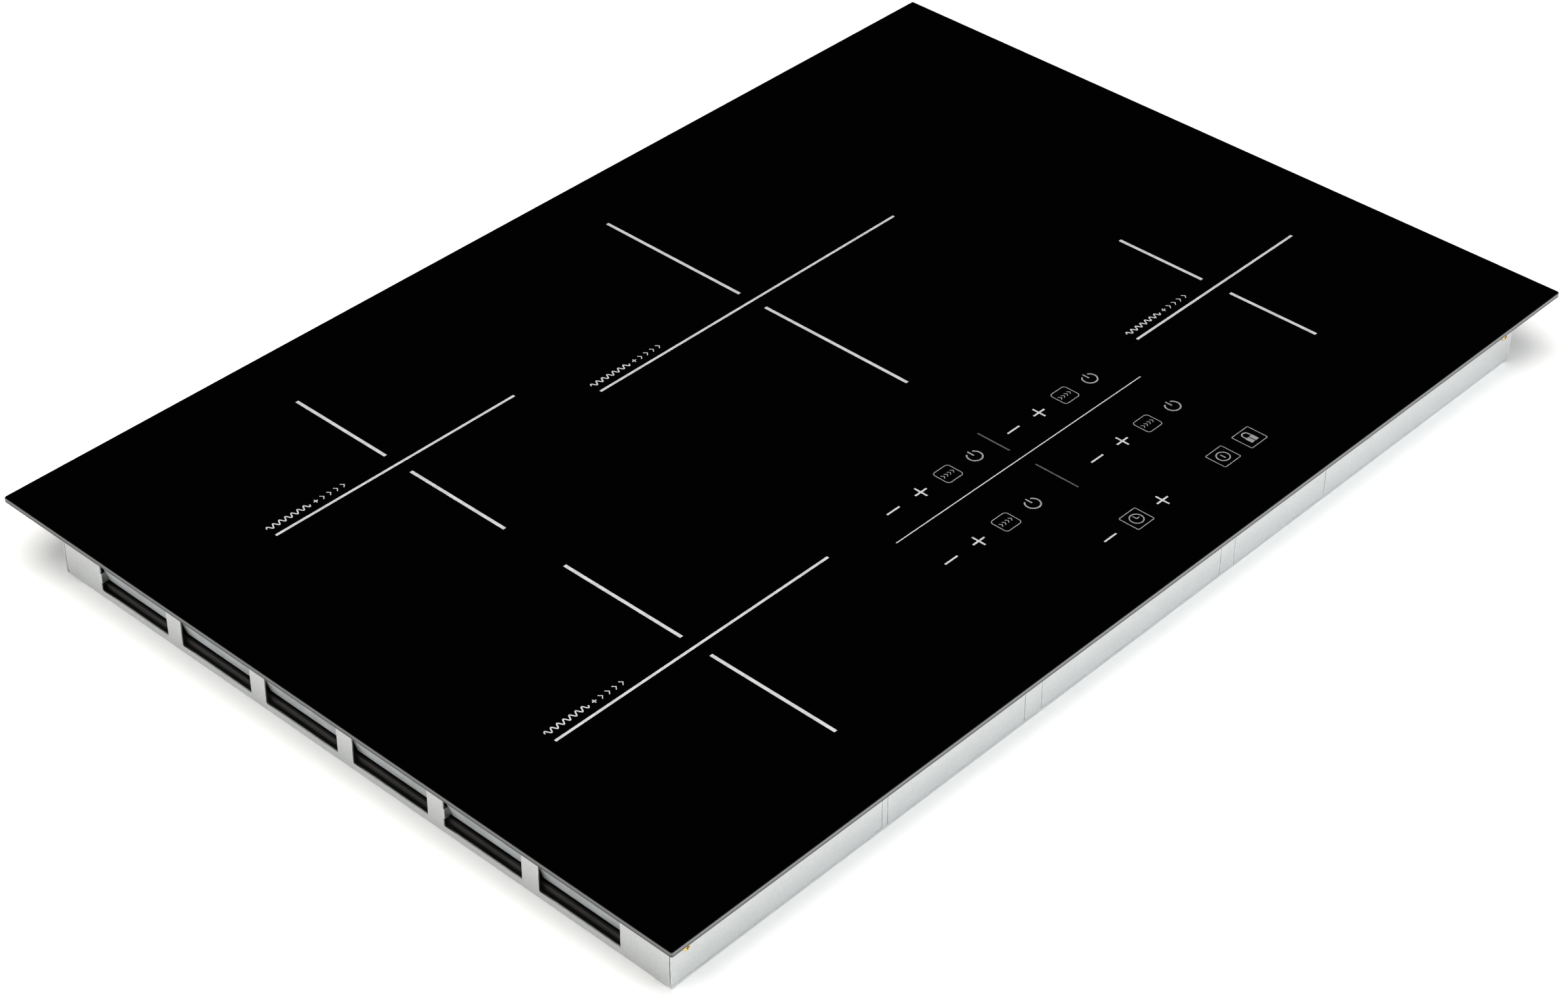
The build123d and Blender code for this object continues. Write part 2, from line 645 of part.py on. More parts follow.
def board_screws():
    """Screws that hold the two inverter boards and the filter board on the carriers' bosses."""
    points = BOARD_SCREWS + [turned(*point) for point in BOARD_SCREWS] + FILTER_SCREWS
    screws = []
    for x, y in points:
        screw = post(x, y, BOARD_TOP, BOARD_TOP + 2.0, 2.8) + post(x, y, CARRIER_TOP + 0.4, BOARD_TOP, 1.15)
        screws.append(screw - block(x - 2, x + 2, y - 0.4, y + 0.4, BOARD_TOP + 1, BOARD_TOP + 3))
    return screws


def make_electronics_screws():
    return group(carrier_screws() + board_screws())


SINK_X0 = -340.0
SINK_X1 = -142.0
SINK_MIDDLE_Y = 40.0
SINK_WIDTH = 56.0
DEVICE_TOP = BOARD_TOP + 4.0


def place(side, shape):
    """Puts a piece of the left-hand unit on its own side."""
    return shape if side == "left" else half_turn(shape)


def make_heat_sink(side):
    """Finned aluminium extrusion over the power devices, in line with the blower's outlet."""
    base_t, fin_t, pitch, top = 2.5, 1.2, 4.2, PLATE_Z - 0.7
    y0, y1 = SINK_MIDDLE_Y - SINK_WIDTH / 2, SINK_MIDDLE_Y + SINK_WIDTH / 2
    sink = block(SINK_X0, SINK_X1, y0, y1, DEVICE_TOP, DEVICE_TOP + base_t)
    fins = int((SINK_WIDTH - fin_t) / pitch)
    first = SINK_MIDDLE_Y - pitch * fins / 2
    sink += [block(SINK_X0, SINK_X1, first + pitch * i - fin_t / 2, first + pitch * i + fin_t / 2,
                   DEVICE_TOP + base_t, top) for i in range(fins + 1)]
    return place(side, sink)


def make_power_devices(side):
    """Four switching transistors and a bridge rectifier, clamped under the heat sink."""
    pieces = [block(x - 8, x + 8, SINK_MIDDLE_Y - 11, SINK_MIDDLE_Y + 11, BOARD_TOP, DEVICE_TOP)
              for x in (-320.0, -290.0, -260.0, -230.0)]
    pieces.append(block(-208, -174, SINK_MIDDLE_Y - 12, SINK_MIDDLE_Y + 12, BOARD_TOP, DEVICE_TOP))
    return place(side, group(pieces))


def make_capacitors(side):
    """Film capacitors of the two inverters."""
    pieces = []
    for x in (-318.0, -276.0, -234.0, -192.0):
        for y, depth in ((-8.0, 13.0), (-34.0, 16.0)):
            box = block(x - 16, x + 16, y - depth / 2, y + depth / 2, BOARD_TOP, BOARD_TOP + 11)
            pieces.append(fillet(box.edges().filter_by(Axis.Z), 1.0))
    return place(side, group(pieces))


def make_chokes(side):
    """Wound ring core and the small transformer of the auxiliary supply."""
    core = tube(-157.0, -24.0, BOARD_TOP, BOARD_TOP + 11, 14.5, 6.5)
    core = fillet(core.edges().filter_by(GeomType.CIRCLE), 2.0)
    transformer = block(-172, -150, -86, -62, BOARD_TOP, BOARD_TOP + 11)
    transformer += block(-175, -147, -80, -68, BOARD_TOP, BOARD_TOP + 8)
    return place(side, group([core, transformer]))


def make_filter_board():
    return board(FILTER_BOX, FILTER_SCREWS)


def make_mains_chokes():
    cores = [tube(x, y, BOARD_TOP, BOARD_TOP + 11.5, 14.5, 6.5) for x, y in ((172.0, 150.0), (206.0, 184.0))]
    return group([fillet(core.edges().filter_by(GeomType.CIRCLE), 2.0) for core in cores])


def make_mains_capacitors():
    pieces = [block(194, 220, 134, 146, BOARD_TOP, BOARD_TOP + 12), block(194, 220, 152, 164, BOARD_TOP, BOARD_TOP + 12),
              block(156, 182, 176, 188, BOARD_TOP, BOARD_TOP + 12)]
    return group([fillet(piece.edges().filter_by(Axis.Z), 1.0) for piece in pieces])


def make_mains_fuse():
    """Glass-tube fuse across two end clips, lying along X."""
    y, z, radius = 202.0, BOARD_TOP + 4.0, 2.6
    barrel = Pos(169, y, z) * Rot(0, 90, 0) * Cylinder(radius, 22)
    clips = [block(x - 2.5, x + 2.5, y - 3.4, y + 3.4, BOARD_TOP, z + 2.0) for x in (160.5, 177.5)]
    return barrel + clips


# ---- blowers ------------------------------------------------------------------------------------
BLOWER_TOP = CARRIER_TOP + 15.0
BLOWER_WALL = 1.2
SCROLL_R = 42.0
OUTLET_REACH = 62.0
INTAKE_R = 24.0
IMPELLER_R = 33.0
IMPELLER_Z0 = CARRIER_TOP + 2.4
IMPELLER_Z1 = BLOWER_TOP - 2.0
CUP_R = 14.0
SHAFT_R = 1.5
SHAFT_CLEARANCE = 0.03
BLADES = 24


def scroll(radius, inset, z0, z1):
    """Round chamber joined to the straight outlet duct."""
    duct = block(BLOWER_X - OUTLET_REACH - inset, BLOWER_X, BLOWER_Y + SCROLL_R - 32 + inset,
                 BLOWER_Y + radius, z0, z1)
    return post(BLOWER_X, BLOWER_Y, z0, z1, radius) + duct


def make_blower_housing(side):
    """Plastic scroll lying flat: air comes in from below and leaves towards the heat sink."""
    outer = scroll(SCROLL_R, 0.0, CARRIER_TOP, BLOWER_TOP)
    inner = scroll(SCROLL_R - BLOWER_WALL, BLOWER_WALL, CARRIER_TOP + BLOWER_WALL, BLOWER_TOP - BLOWER_WALL)
    intake = post(BLOWER_X, BLOWER_Y, CARRIER_TOP - CUT, CARRIER_TOP + BLOWER_WALL + CUT, INTAKE_R)
    return place(side, outer - inner - intake)


def make_blower_bearing(side):
    """Sintered bush that hangs from the housing's top wall."""
    bush = tube(BLOWER_X, BLOWER_Y, IMPELLER_Z0 + 3.0, BLOWER_TOP - BLOWER_WALL, 3.5, SHAFT_R + SHAFT_CLEARANCE)
    return place(side, bush)


def make_blower_stator(side):
    """Six-pole stator pressed on the bush."""
    z0, z1 = IMPELLER_Z0 + 4.0, IMPELLER_Z1 - 0.8
    stator = tube(BLOWER_X, BLOWER_Y, z0, z1, 10.4, 3.5)
    for i in range(6):
        slot = Pos(BLOWER_X, BLOWER_Y, (z0 + z1) / 2) * Rot(0, 0, 60 * i) * Pos(8.4, 0, 0) * Box(5, 2, z1 - z0 + CUT)
        stator -= slot
    return place(side, stator)


def make_impeller(side):
    """Blower wheel: motor cup, back plate, forward-curved blades and a rim, turning about Z."""
    x, y = BLOWER_X, BLOWER_Y
    cup_wall = 1.5
    wheel = tube(x, y, IMPELLER_Z0, IMPELLER_Z1, CUP_R, CUP_R - cup_wall)
    wheel += tube(x, y, IMPELLER_Z0, IMPELLER_Z0 + cup_wall, CUP_R - cup_wall / 2, SHAFT_R)
    wheel += tube(x, y, IMPELLER_Z1 - 1.0, IMPELLER_Z1, IMPELLER_R, CUP_R - cup_wall / 2)
    wheel += tube(x, y, IMPELLER_Z0, IMPELLER_Z0 + 0.8, IMPELLER_R, IMPELLER_R - 2.0)
    height = IMPELLER_Z1 - IMPELLER_Z0
    blade = Pos(28.2, 0, IMPELLER_Z0 + height / 2) * Rot(0, 0, 35) * Box(9.0, 0.8, height)
    wheel += [Pos(x, y, 0) * Rot(0, 0, 360 / BLADES * i) * blade for i in range(BLADES)]
    return place(side, wheel)


def make_rotor_magnet(side):
    inside = CUP_R - 1.5
    return place(side, tube(BLOWER_X, BLOWER_Y, IMPELLER_Z0 + 2.5, IMPELLER_Z1 - 1.0, inside, inside - 1.3))


def make_blower_shaft(side):
    return place(side, post(BLOWER_X, BLOWER_Y, IMPELLER_Z0, BLOWER_TOP - BLOWER_WALL - 0.4, SHAFT_R))


# ---- touch controls -----------------------------------------------------------------------------
CONTROL_BOX = (-82.0, 162.0, -224.0, -90.0)
CONTROL_Z = 41.0
CONTROL_T = 1.6
CONTROL_TOP = CONTROL_Z + CONTROL_T
# rows of touch keys: y, then the x of each key
KEY_ROWS = (
    (-109.5, (-54.8, -31.5, -8.2, 15.0, 49.2, 72.4, 95.8, 119.0)),
    (-161.6, (-66.2, -43.0, -19.7, 3.5, 60.6, 83.6, 107.0, 130.4)),
    (-212.3, (8.8, 32.1, 55.4, 111.2, 136.2)),
)
DISPLAYS = ((-43.0, -126.5), (61.0, -126.5), (-55.0, -178.5), (72.0, -178.5), (32.0, -195.0))


def make_control_carrier():
    """Plastic frame that holds the touch board up under the glass."""
    x0, x1, y0, y1 = CONTROL_BOX
    wall, ledge = 2.0, 5.0
    carrier = block(x0, x1, y0, y1, PLATE_TOP, CONTROL_Z + 1.2)
    carrier -= block(x0 + wall, x1 - wall, y0 + wall, y1 - wall, CONTROL_Z, CONTROL_Z + 3)
    carrier -= block(x0 + ledge, x1 - ledge, y0 + ledge, y1 - ledge, PLATE_TOP - CUT, CONTROL_Z + CUT)
    middle_y = (y0 + y1) / 2
    return carrier + block(x0 + wall, x1 - wall, middle_y - 1.5, middle_y + 1.5, CONTROL_Z - 5, CONTROL_Z)


def make_control_board():
    x0, x1, y0, y1 = CONTROL_BOX
    return block(x0 + 2.3, x1 - 2.3, y0 + 2.3, y1 - 2.3, CONTROL_Z, CONTROL_TOP)


def make_touch_pads():
    """Sprung contacts between the touch board and the glass, one under each key."""
    pads = []
    for y, xs in KEY_ROWS:
        for x in xs:
            pads.append(post(x, y, CONTROL_TOP, CONTROL_TOP + 0.8, 3.2) + post(x, y, CONTROL_TOP, GLASS_Z, 1.2)
                        + post(x, y, GLASS_Z - 0.6, GLASS_Z, 5.0))
    return group(pads)


def make_displays():
    """Seven-segment blocks that shine through the dark glass."""
    return group([block(x - 9, x + 9, y - 5, y + 5, CONTROL_TOP, GLASS_Z - 0.3) for x, y in DISPLAYS])


def make_buzzer():
    return post(-60.0, -140.0, CONTROL_Z - 6, CONTROL_Z, 6.0) - post(-60.0, -140.0, CONTROL_Z - 7, CONTROL_Z - 4, 1.2)


def make_ribbon_cable():
    """Flat cable from the touch board down through the coil plate to the right-hand board."""
    half, t = 8.0, 0.9
    y0, y1 = RIBBON_Y - half, RIBBON_Y + half
    low = 14.0
    end_x = RIBBON_X + RIBBON_RUN
    ribbon = block(RIBBON_X - t / 2, RIBBON_X + t / 2, y0, y1, low, CONTROL_Z)
    ribbon += block(RIBBON_X - t / 2, end_x + t / 2, y0, y1, low, low + t)
    return ribbon + block(end_x - t / 2, end_x + t / 2, y0, y1, TERMINAL_PIN_TOP, low + t)


def make_ribbon_socket():
    x = RIBBON_X + RIBBON_RUN
    return block(x - 3, x + 3, RIBBON_Y - 10, RIBBON_Y + 10, BOARD_TOP, TERMINAL_PIN_TOP)


# ---- all nodes ----------------------------------------------------------------------------------
def all_nodes():
    """Every node's name with its shape."""
    nodes = {
        "glass_top": make_glass_top(),
        "glass_seal": make_glass_seal(),
        "glass_frame": make_glass_frame(),
        "frame_screws": make_frame_screws(),
        "tray": make_tray(),
        "plate_posts": make_plate_posts(),
        "terminal_cover": make_terminal_cover(),
        "cover_screws": make_cover_screws(),
        "cable_gland": make_cable_gland(),
        "terminal_block": make_terminal_block(),
        "terminal_clamps": make_terminal_clamps(),
        "earth_stud": make_earth_stud(),
        "coil_plate": make_coil_plate(),
        "plate_screws": make_plate_screws(),
        "lead_grommets": make_lead_grommets(),
        "coil_springs": make_coil_springs(),
        "coil_leads": make_coil_leads(),
        "lead_terminals": make_lead_terminals(),
        "electronics_screws": make_electronics_screws(),
        "filter_board": make_filter_board(),
        "mains_chokes": make_mains_chokes(),
        "mains_capacitors": make_mains_capacitors(),
        "mains_fuse": make_mains_fuse(),
        "control_carrier": make_control_carrier(),
        "control_board": make_control_board(),
        "touch_pads": make_touch_pads(),
        "displays": make_displays(),
        "buzzer": make_buzzer(),
        "ribbon_cable": make_ribbon_cable(),
        "ribbon_socket": make_ribbon_socket(),
    }
    for name in COILS:
        nodes["former_" + name] = make_coil_former(name)
        nodes["winding_" + name] = make_winding(name)
    nodes["mica_discs"] = group([make_mica(name) for name in COILS])
    nodes["ferrites"] = group([make_ferrites(name) for name in COILS])
    nodes["sensors"] = group([make_sensor(name) for name in COILS])
    for side in SIDES:
        nodes["carrier_" + side] = make_carrier(side)
        nodes["inverter_board_" + side] = make_inverter_board(side)
        nodes["heat_sink_" + side] = make_heat_sink(side)
        nodes["blower_housing_" + side] = make_blower_housing(side)
        nodes["impeller_" + side] = make_impeller(side)
        nodes["rotor_magnet_" + side] = make_rotor_magnet(side)
        nodes["blower_shaft_" + side] = make_blower_shaft(side)
    nodes["power_devices"] = group([make_power_devices(side) for side in SIDES])
    nodes["inverter_capacitors"] = group([make_capacitors(side) for side in SIDES])
    nodes["inverter_chokes"] = group([make_chokes(side) for side in SIDES])
    nodes["blower_bearings"] = group([make_blower_bearing(side) for side in SIDES])
    nodes["blower_stators"] = group([make_blower_stator(side) for side in SIDES])
    return nodes


for node_name, node_shape in all_nodes().items():
    export_step(node_shape, "parts/" + node_name + ".step")
    print(node_name, len(node_shape.solids()), "solids", round(node_shape.volume), "mm3")
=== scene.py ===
# %% [markdown]
# # A built-in electric induction cooktop
#
# The real object is a black glass-ceramic top bonded over a shallow tray of zinc-coated sheet steel.
# Four zones are marked on the glass by thin printed crosses, and a touch panel lies at the front edge.
# The tray's side walls have air windows, and inside are coils, two power boards and two blowers.
#
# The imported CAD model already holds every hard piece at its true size, so this lesson does three things:
# it lights and frames the model, it gives every piece a finish made of shader nodes, and it adds the
# fine work that CAD leaves out, such as the print on the glass and the turns of wire in the coils.

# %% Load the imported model
import json
import math

import bmesh
import bpy
from mathutils import Matrix, Vector


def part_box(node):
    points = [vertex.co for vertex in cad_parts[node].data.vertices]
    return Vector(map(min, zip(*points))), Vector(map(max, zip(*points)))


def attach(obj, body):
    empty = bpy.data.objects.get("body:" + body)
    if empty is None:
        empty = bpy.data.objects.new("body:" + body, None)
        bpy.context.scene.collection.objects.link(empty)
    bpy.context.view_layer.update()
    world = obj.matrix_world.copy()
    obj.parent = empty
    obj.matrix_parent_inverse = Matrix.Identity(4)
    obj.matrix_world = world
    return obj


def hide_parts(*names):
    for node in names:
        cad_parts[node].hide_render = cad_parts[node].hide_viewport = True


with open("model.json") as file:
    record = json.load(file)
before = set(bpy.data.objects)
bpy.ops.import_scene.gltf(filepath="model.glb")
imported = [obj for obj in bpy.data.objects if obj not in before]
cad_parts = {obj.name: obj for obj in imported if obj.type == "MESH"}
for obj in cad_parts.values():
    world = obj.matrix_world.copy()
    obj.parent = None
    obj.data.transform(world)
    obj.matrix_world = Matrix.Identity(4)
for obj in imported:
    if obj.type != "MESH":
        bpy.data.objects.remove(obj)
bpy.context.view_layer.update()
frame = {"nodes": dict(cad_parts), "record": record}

MM = 0.001
scene = bpy.context.scene

# %% [markdown]
# ## The camera
#
# The appliance is seen from its front left corner, from about two metres away and well above the glass.
# A long lens keeps the far edges nearly parallel. The camera could be aimed with a Track To constraint,
# but three turns written out are exact: the heading, the tilt below the horizon, and a very small roll.

# %% Camera
CAMERA_PLACE = Vector((-1.2002, -1.0780, 1.2092))
HEADING = math.radians(47.0076)
TILT_DOWN = math.radians(37.4872)
ROLL = math.radians(0.1733)
LENS_MM = 78.36
SIDE_SHIFT = 0.0138


def make_camera():
    data = bpy.data.cameras.new("studio_camera")
    data.lens = LENS_MM
    data.sensor_width = 36.0
    data.shift_x = SIDE_SHIFT
    camera = bpy.data.objects.new("studio_camera", data)
    turn = Matrix.Rotation(-HEADING, 4, "Z")
    turn = turn @ Matrix.Rotation(math.pi / 2 - TILT_DOWN, 4, "X")
    turn = turn @ Matrix.Rotation(ROLL, 4, "Z")
    camera.matrix_world = Matrix.Translation(CAMERA_PLACE) @ turn
    scene.collection.objects.link(camera)
    scene.camera = camera
    return camera


make_camera()
print("camera", LENS_MM, "mm lens at", tuple(round(v, 3) for v in CAMERA_PLACE))

# %% [markdown]
# ## Small tools for shader nodes
#
# Every finish below is a node tree, and writing each node and link by hand makes long, dull code.
# `put` adds one node and fills its sockets: a plain value is typed in, and another node's socket is linked.
# `mix_colours` and `maths` are short names for the two nodes that are used most.


# %% Node tools
def put(tree, kind, values=None, **settings):
    """Adds a node, applies its settings, then fills or links its sockets."""
    node = tree.nodes.new("ShaderNode" + kind)
    for name, value in settings.items():
        setattr(node, name, value)
    for socket, value in (values or {}).items():
        if isinstance(value, bpy.types.NodeSocket):
            tree.links.new(value, node.inputs[socket])
        else:
            node.inputs[socket].default_value = value
    return node


def mix_colours(tree, mask, first, second, blend="MIX"):
    """A colour that goes from first to second as the mask goes from 0 to 1."""
    node = put(tree, "Mix", {0: mask, 6: first, 7: second}, data_type="RGBA", blend_type=blend)
    return node.outputs[2]


def maths(tree, operation, first, second=0.0, clamp=False):
    node = put(tree, "Math", {0: first, 1: second}, operation=operation, use_clamp=clamp)
    return node.outputs[0]


def grey(level):
    return (level, level, level, 1.0)


print("node tools ready")

# %% [markdown]
# ## The floor and the light
#
# Product pictures of this kind stand on white. A large pale floor carries the soft light back up on to
# the metal walls. The glass is a mirror, and it stays black only where it mirrors something dark.
# So the sky is pale near the horizon, for low views, and dark higher up, and the lamps hang where the
# glass doesn't send them to the camera: one high over the left, and four long low ones all round. The
# high one is hidden from mirror rays, or it would lie on the glass as a hard grey patch from above.

# %% Floor and sky
FLOOR_HALF = 14.0
FLOOR_DROP = 0.4 * MM
FLOOR_GLOW = 0.14
SKY_PALE_BELOW = 0.16
SKY_DARK_ABOVE = 0.34
SKY_DARK = 0.003


def make_floor():
    mesh = bpy.data.meshes.new("studio_floor")
    build = bmesh.new()
    bmesh.ops.create_grid(build, x_segments=2, y_segments=2, size=FLOOR_HALF)
    build.to_mesh(mesh)
    build.free()
    floor = bpy.data.objects.new("studio_floor", mesh)
    floor.location.z = -FLOOR_DROP
    scene.collection.objects.link(floor)
    paint = bpy.data.materials.new("studio_floor_paint")
    paint.use_nodes = True
    tree = paint.node_tree
    shader = tree.nodes["Principled BSDF"]
    place = put(tree, "TexCoord").outputs["Object"]
    cloud = put(tree, "TexNoise", {"Vector": place, "Scale": 6.0, "Detail": 3.0}).outputs["Fac"]
    tint = mix_colours(tree, cloud, (0.90, 0.90, 0.90, 1.0), (0.93, 0.93, 0.93, 1.0))
    tree.links.new(tint, shader.inputs["Base Color"])
    shader.inputs["Roughness"].default_value = 0.9
    shader.inputs["Specular IOR Level"].default_value = 0.1
    shader.inputs["Emission Color"].default_value = grey(1.0)
    shader.inputs["Emission Strength"].default_value = FLOOR_GLOW
    mesh.materials.append(paint)
    return floor


def make_sky():
    world = bpy.data.worlds.new("studio_sky")
    world.use_nodes = True
    scene.world = world
    tree = world.node_tree
    direction = put(tree, "TexCoord").outputs["Generated"]
    height = put(tree, "SeparateXYZ", {0: direction}).outputs["Z"]
    fade = put(tree, "MapRange", {0: height, 1: SKY_PALE_BELOW, 2: SKY_DARK_ABOVE}).outputs[0]
    colour = mix_colours(tree, fade, grey(1.0), grey(SKY_DARK))
    tree.links.new(colour, tree.nodes["Background"].inputs["Color"])


make_floor()
make_sky()
print("floor", 2 * FLOOR_HALF, "m wide")

# %% Lamps
# name: place, aim, width, height, power in watts, tint
HIDDEN_FROM_MIRRORS = "top_softbox"
COOL = (0.95, 0.985, 1.0)
WARM = (1.0, 0.985, 0.95)
LAMPS = {
    "top_softbox": ((-0.75, -0.45, 2.1), (0.0, 0.0, 0.0), 1.8, 1.8, 74.0, WARM),
    "front_softbox": ((0.55, -2.3, 0.26), (0.0, 0.0, 0.02), 2.2, 0.44, 74.0, COOL),
    "left_softbox": ((-2.3, 0.9, 0.24), (0.0, 0.1, 0.02), 1.8, 0.40, 18.0, WARM),
    "rear_softbox": ((-0.9, 2.2, 0.24), (0.0, 0.1, 0.02), 1.8, 0.40, 20.0, COOL),
    "right_softbox": ((2.4, -0.9, 0.24), (0.0, 0.0, 0.02), 1.8, 0.40, 20.0, COOL),
}


def make_lamp(name, place, aim, width, height, power, tint):
    data = bpy.data.lights.new(name, "AREA")
    data.shape = "RECTANGLE"
    data.size = width
    data.size_y = height
    data.energy = power
    data.color = tint
    lamp = bpy.data.objects.new(name, data)
    lamp.location = place
    lamp.rotation_euler = (Vector(aim) - Vector(place)).to_track_quat("-Z", "Y").to_euler()
    lamp.visible_camera = False
    lamp.visible_glossy = name != HIDDEN_FROM_MIRRORS
    scene.collection.objects.link(lamp)


for lamp_name, settings in LAMPS.items():
    make_lamp(lamp_name, *settings)
scene.view_settings.view_transform = "Standard"
print("lamps:", ", ".join(LAMPS))

# %% [markdown]
# ## Effects that many finishes share
#
# A real surface is never one flat colour. Its gloss changes from spot to spot, edges are rubbed bright,
# and a little dust lies on what faces up. The bright edge line also serves as a painted highlight where
# light catches an edge. Each effect could be drawn again inside every material, but a
# node group is built once and then used anywhere with other numbers. A group here gives out only
# colours, masks and heights; the shader itself stays in the material.


# %% Group maker
def new_group(name, inputs, outputs):
    """A node group with named sockets; returns the group, its inputs' sockets and its outputs' sockets."""
    group = bpy.data.node_groups.new(name, "ShaderNodeTree")
    for label, kind, value in inputs:
        socket = group.interface.new_socket(label, in_out="INPUT", socket_type="NodeSocket" + kind)
        socket.default_value = value
    for label, kind in outputs:
        group.interface.new_socket(label, in_out="OUTPUT", socket_type="NodeSocket" + kind)
    source = group.nodes.new("NodeGroupInput").outputs
    sink = group.nodes.new("NodeGroupOutput").inputs
    return group, source, sink


print("group maker ready")

# %% [markdown]
# ### Fine grain
#
# Moulded plastic, rolled sheet and sintered parts all have a fine unevenness, only at other sizes and in
# other directions. One noise does for all: `Stretch` squeezes it along an axis, which turns grain into
# brush or rolling lines. It gives out a height for the bump and a roughness between two limits.

# %% Fine grain
grain_group, source, sink = new_group(
    "fine_grain",
    [("Scale", "Float", 900.0), ("Stretch", "Vector", (1.0, 1.0, 1.0)),
     ("Smoothest", "Float", 0.3), ("Roughest", "Float", 0.5)],
    [("Height", "Float"), ("Roughness", "Float")],
)
place = put(grain_group, "TexCoord").outputs["Object"]
squeezed = put(grain_group, "VectorMath", {0: place, 1: source["Stretch"]}, operation="MULTIPLY").outputs[0]
grain = {"Vector": squeezed, "Scale": source["Scale"], "Detail": 4.0}
noise = put(grain_group, "TexNoise", grain).outputs["Fac"]
limits = {0: noise, 1: 0.3, 2: 0.7, 3: source["Smoothest"], 4: source["Roughest"]}
gloss = put(grain_group, "MapRange", limits)
grain_group.links.new(noise, sink["Height"])
grain_group.links.new(gloss.outputs[0], sink["Roughness"])
print("group:", grain_group.name)

# %% [markdown]
# ### Cloudy colour
#
# Paint, plastic and metal drift a little in tone over a few centimetres. A slow noise between two close
# colours is enough, and it is the difference that the eye misses most in a plain rendering.

# %% Cloudy colour
cloud_group, source, sink = new_group(
    "cloudy_colour",
    [("Scale", "Float", 30.0), ("First", "Color", grey(0.5)), ("Second", "Color", grey(0.6))],
    [("Colour", "Color")],
)
place = put(cloud_group, "TexCoord").outputs["Object"]
drift = {"Vector": place, "Scale": source["Scale"], "Detail": 3.0}
noise = put(cloud_group, "TexNoise", drift).outputs["Fac"]
steep = put(cloud_group, "MapRange", {0: noise, 1: 0.35, 2: 0.65}).outputs[0]
tone = mix_colours(cloud_group, steep, source["First"], source["Second"])
cloud_group.links.new(tone, sink["Colour"])
print("group:", cloud_group.name)

# %% [markdown]
# ### Zinc crystals
#
# Zinc freezes on steel in flat crystals, each with a slightly different tone. A Voronoi texture gives
# every cell its own random colour, which is just that pattern. On thin modern sheet the crystals are
# small and faint, so the two tones stay close together.

# %% Zinc crystals
zinc_group, source, sink = new_group(
    "zinc_crystals",
    [("Scale", "Float", 260.0), ("Dark", "Color", grey(0.5)), ("Light", "Color", grey(0.6))],
    [("Colour", "Color"), ("Height", "Float")],
)
place = put(zinc_group, "TexCoord").outputs["Object"]
warp = put(zinc_group, "TexNoise", {"Vector": place, "Scale": 90.0}).outputs["Color"]
bent = put(zinc_group, "VectorMath", {0: warp, 1: (0.006, 0.006, 0.006), 2: place}, operation="MULTIPLY_ADD")
cells = put(zinc_group, "TexVoronoi", {"Vector": bent.outputs[0], "Scale": source["Scale"]}).outputs["Color"]
tone = put(zinc_group, "SeparateColor", {0: cells}).outputs[0]
zinc_group.links.new(mix_colours(zinc_group, tone, source["Dark"], source["Light"]), sink["Colour"])
zinc_group.links.new(tone, sink["Height"])
print("group:", zinc_group.name)

# %% [markdown]
# ### Rubbed edges and painted edge highlights
#
# Corners lose their coat first. The Bevel node rounds the shading normal near an edge, so where it
# differs from the true normal there is an edge. Noise breaks the line up, as real rubbing does. On the
# tray steel the same pale edge line is a painted highlight, standing in for light caught along the edges.

# %% Rubbed edges
edge_wear_and_highlight_group, source, sink = new_group(
    "rubbed_and_highlit_edges",
    [("Width", "Float", 0.0006), ("Amount", "Float", 0.6)],
    [("Mask", "Float")],
)
true_normal = put(edge_wear_and_highlight_group, "NewGeometry").outputs["Normal"]
round_normal = put(edge_wear_and_highlight_group, "Bevel", {"Radius": source["Width"]}, samples=4).outputs[0]
alike = put(edge_wear_and_highlight_group, "VectorMath", {0: true_normal, 1: round_normal}, operation="DOT_PRODUCT")
alike = alike.outputs["Value"]
edge = put(edge_wear_and_highlight_group, "MapRange", {0: alike, 1: 0.98, 2: 0.80}).outputs[0]
place = put(edge_wear_and_highlight_group, "TexCoord").outputs["Object"]
broken = put(edge_wear_and_highlight_group, "TexNoise", {"Vector": place, "Scale": 220.0, "Detail": 3.0}).outputs["Fac"]
broken = put(edge_wear_and_highlight_group, "MapRange", {0: broken, 1: 0.35, 2: 0.6}).outputs[0]
worn = maths(edge_wear_and_highlight_group, "MULTIPLY", edge, broken)
worn = maths(edge_wear_and_highlight_group, "MULTIPLY", worn, source["Amount"], clamp=True)
edge_wear_and_highlight_group.links.new(worn, sink["Mask"])
print("group:", edge_wear_and_highlight_group.name)

# %% [markdown]
# ### Settled dust
#
# Dust lies only on what faces up, thin and patchy. The geometry's normal says how far a spot faces up,
# and a noise makes the patches.

# %% Settled dust
dust_group, source, sink = new_group(
    "settled_dust",
    [("Amount", "Float", 0.15), ("Scale", "Float", 60.0)],
    [("Mask", "Float")],
)
upward = put(dust_group, "SeparateXYZ", {0: put(dust_group, "NewGeometry").outputs["Normal"]}).outputs["Z"]
flat = put(dust_group, "MapRange", {0: upward, 1: 0.6, 2: 1.0}).outputs[0]
place = put(dust_group, "TexCoord").outputs["Object"]
patches = {"Vector": place, "Scale": source["Scale"], "Detail": 6.0}
dusty = maths(dust_group, "MULTIPLY", flat, put(dust_group, "TexNoise", patches).outputs["Fac"])
dusty = maths(dust_group, "MULTIPLY", dusty, source["Amount"], clamp=True)
dust_group.links.new(dusty, sink["Mask"])
print("group:", dust_group.name)

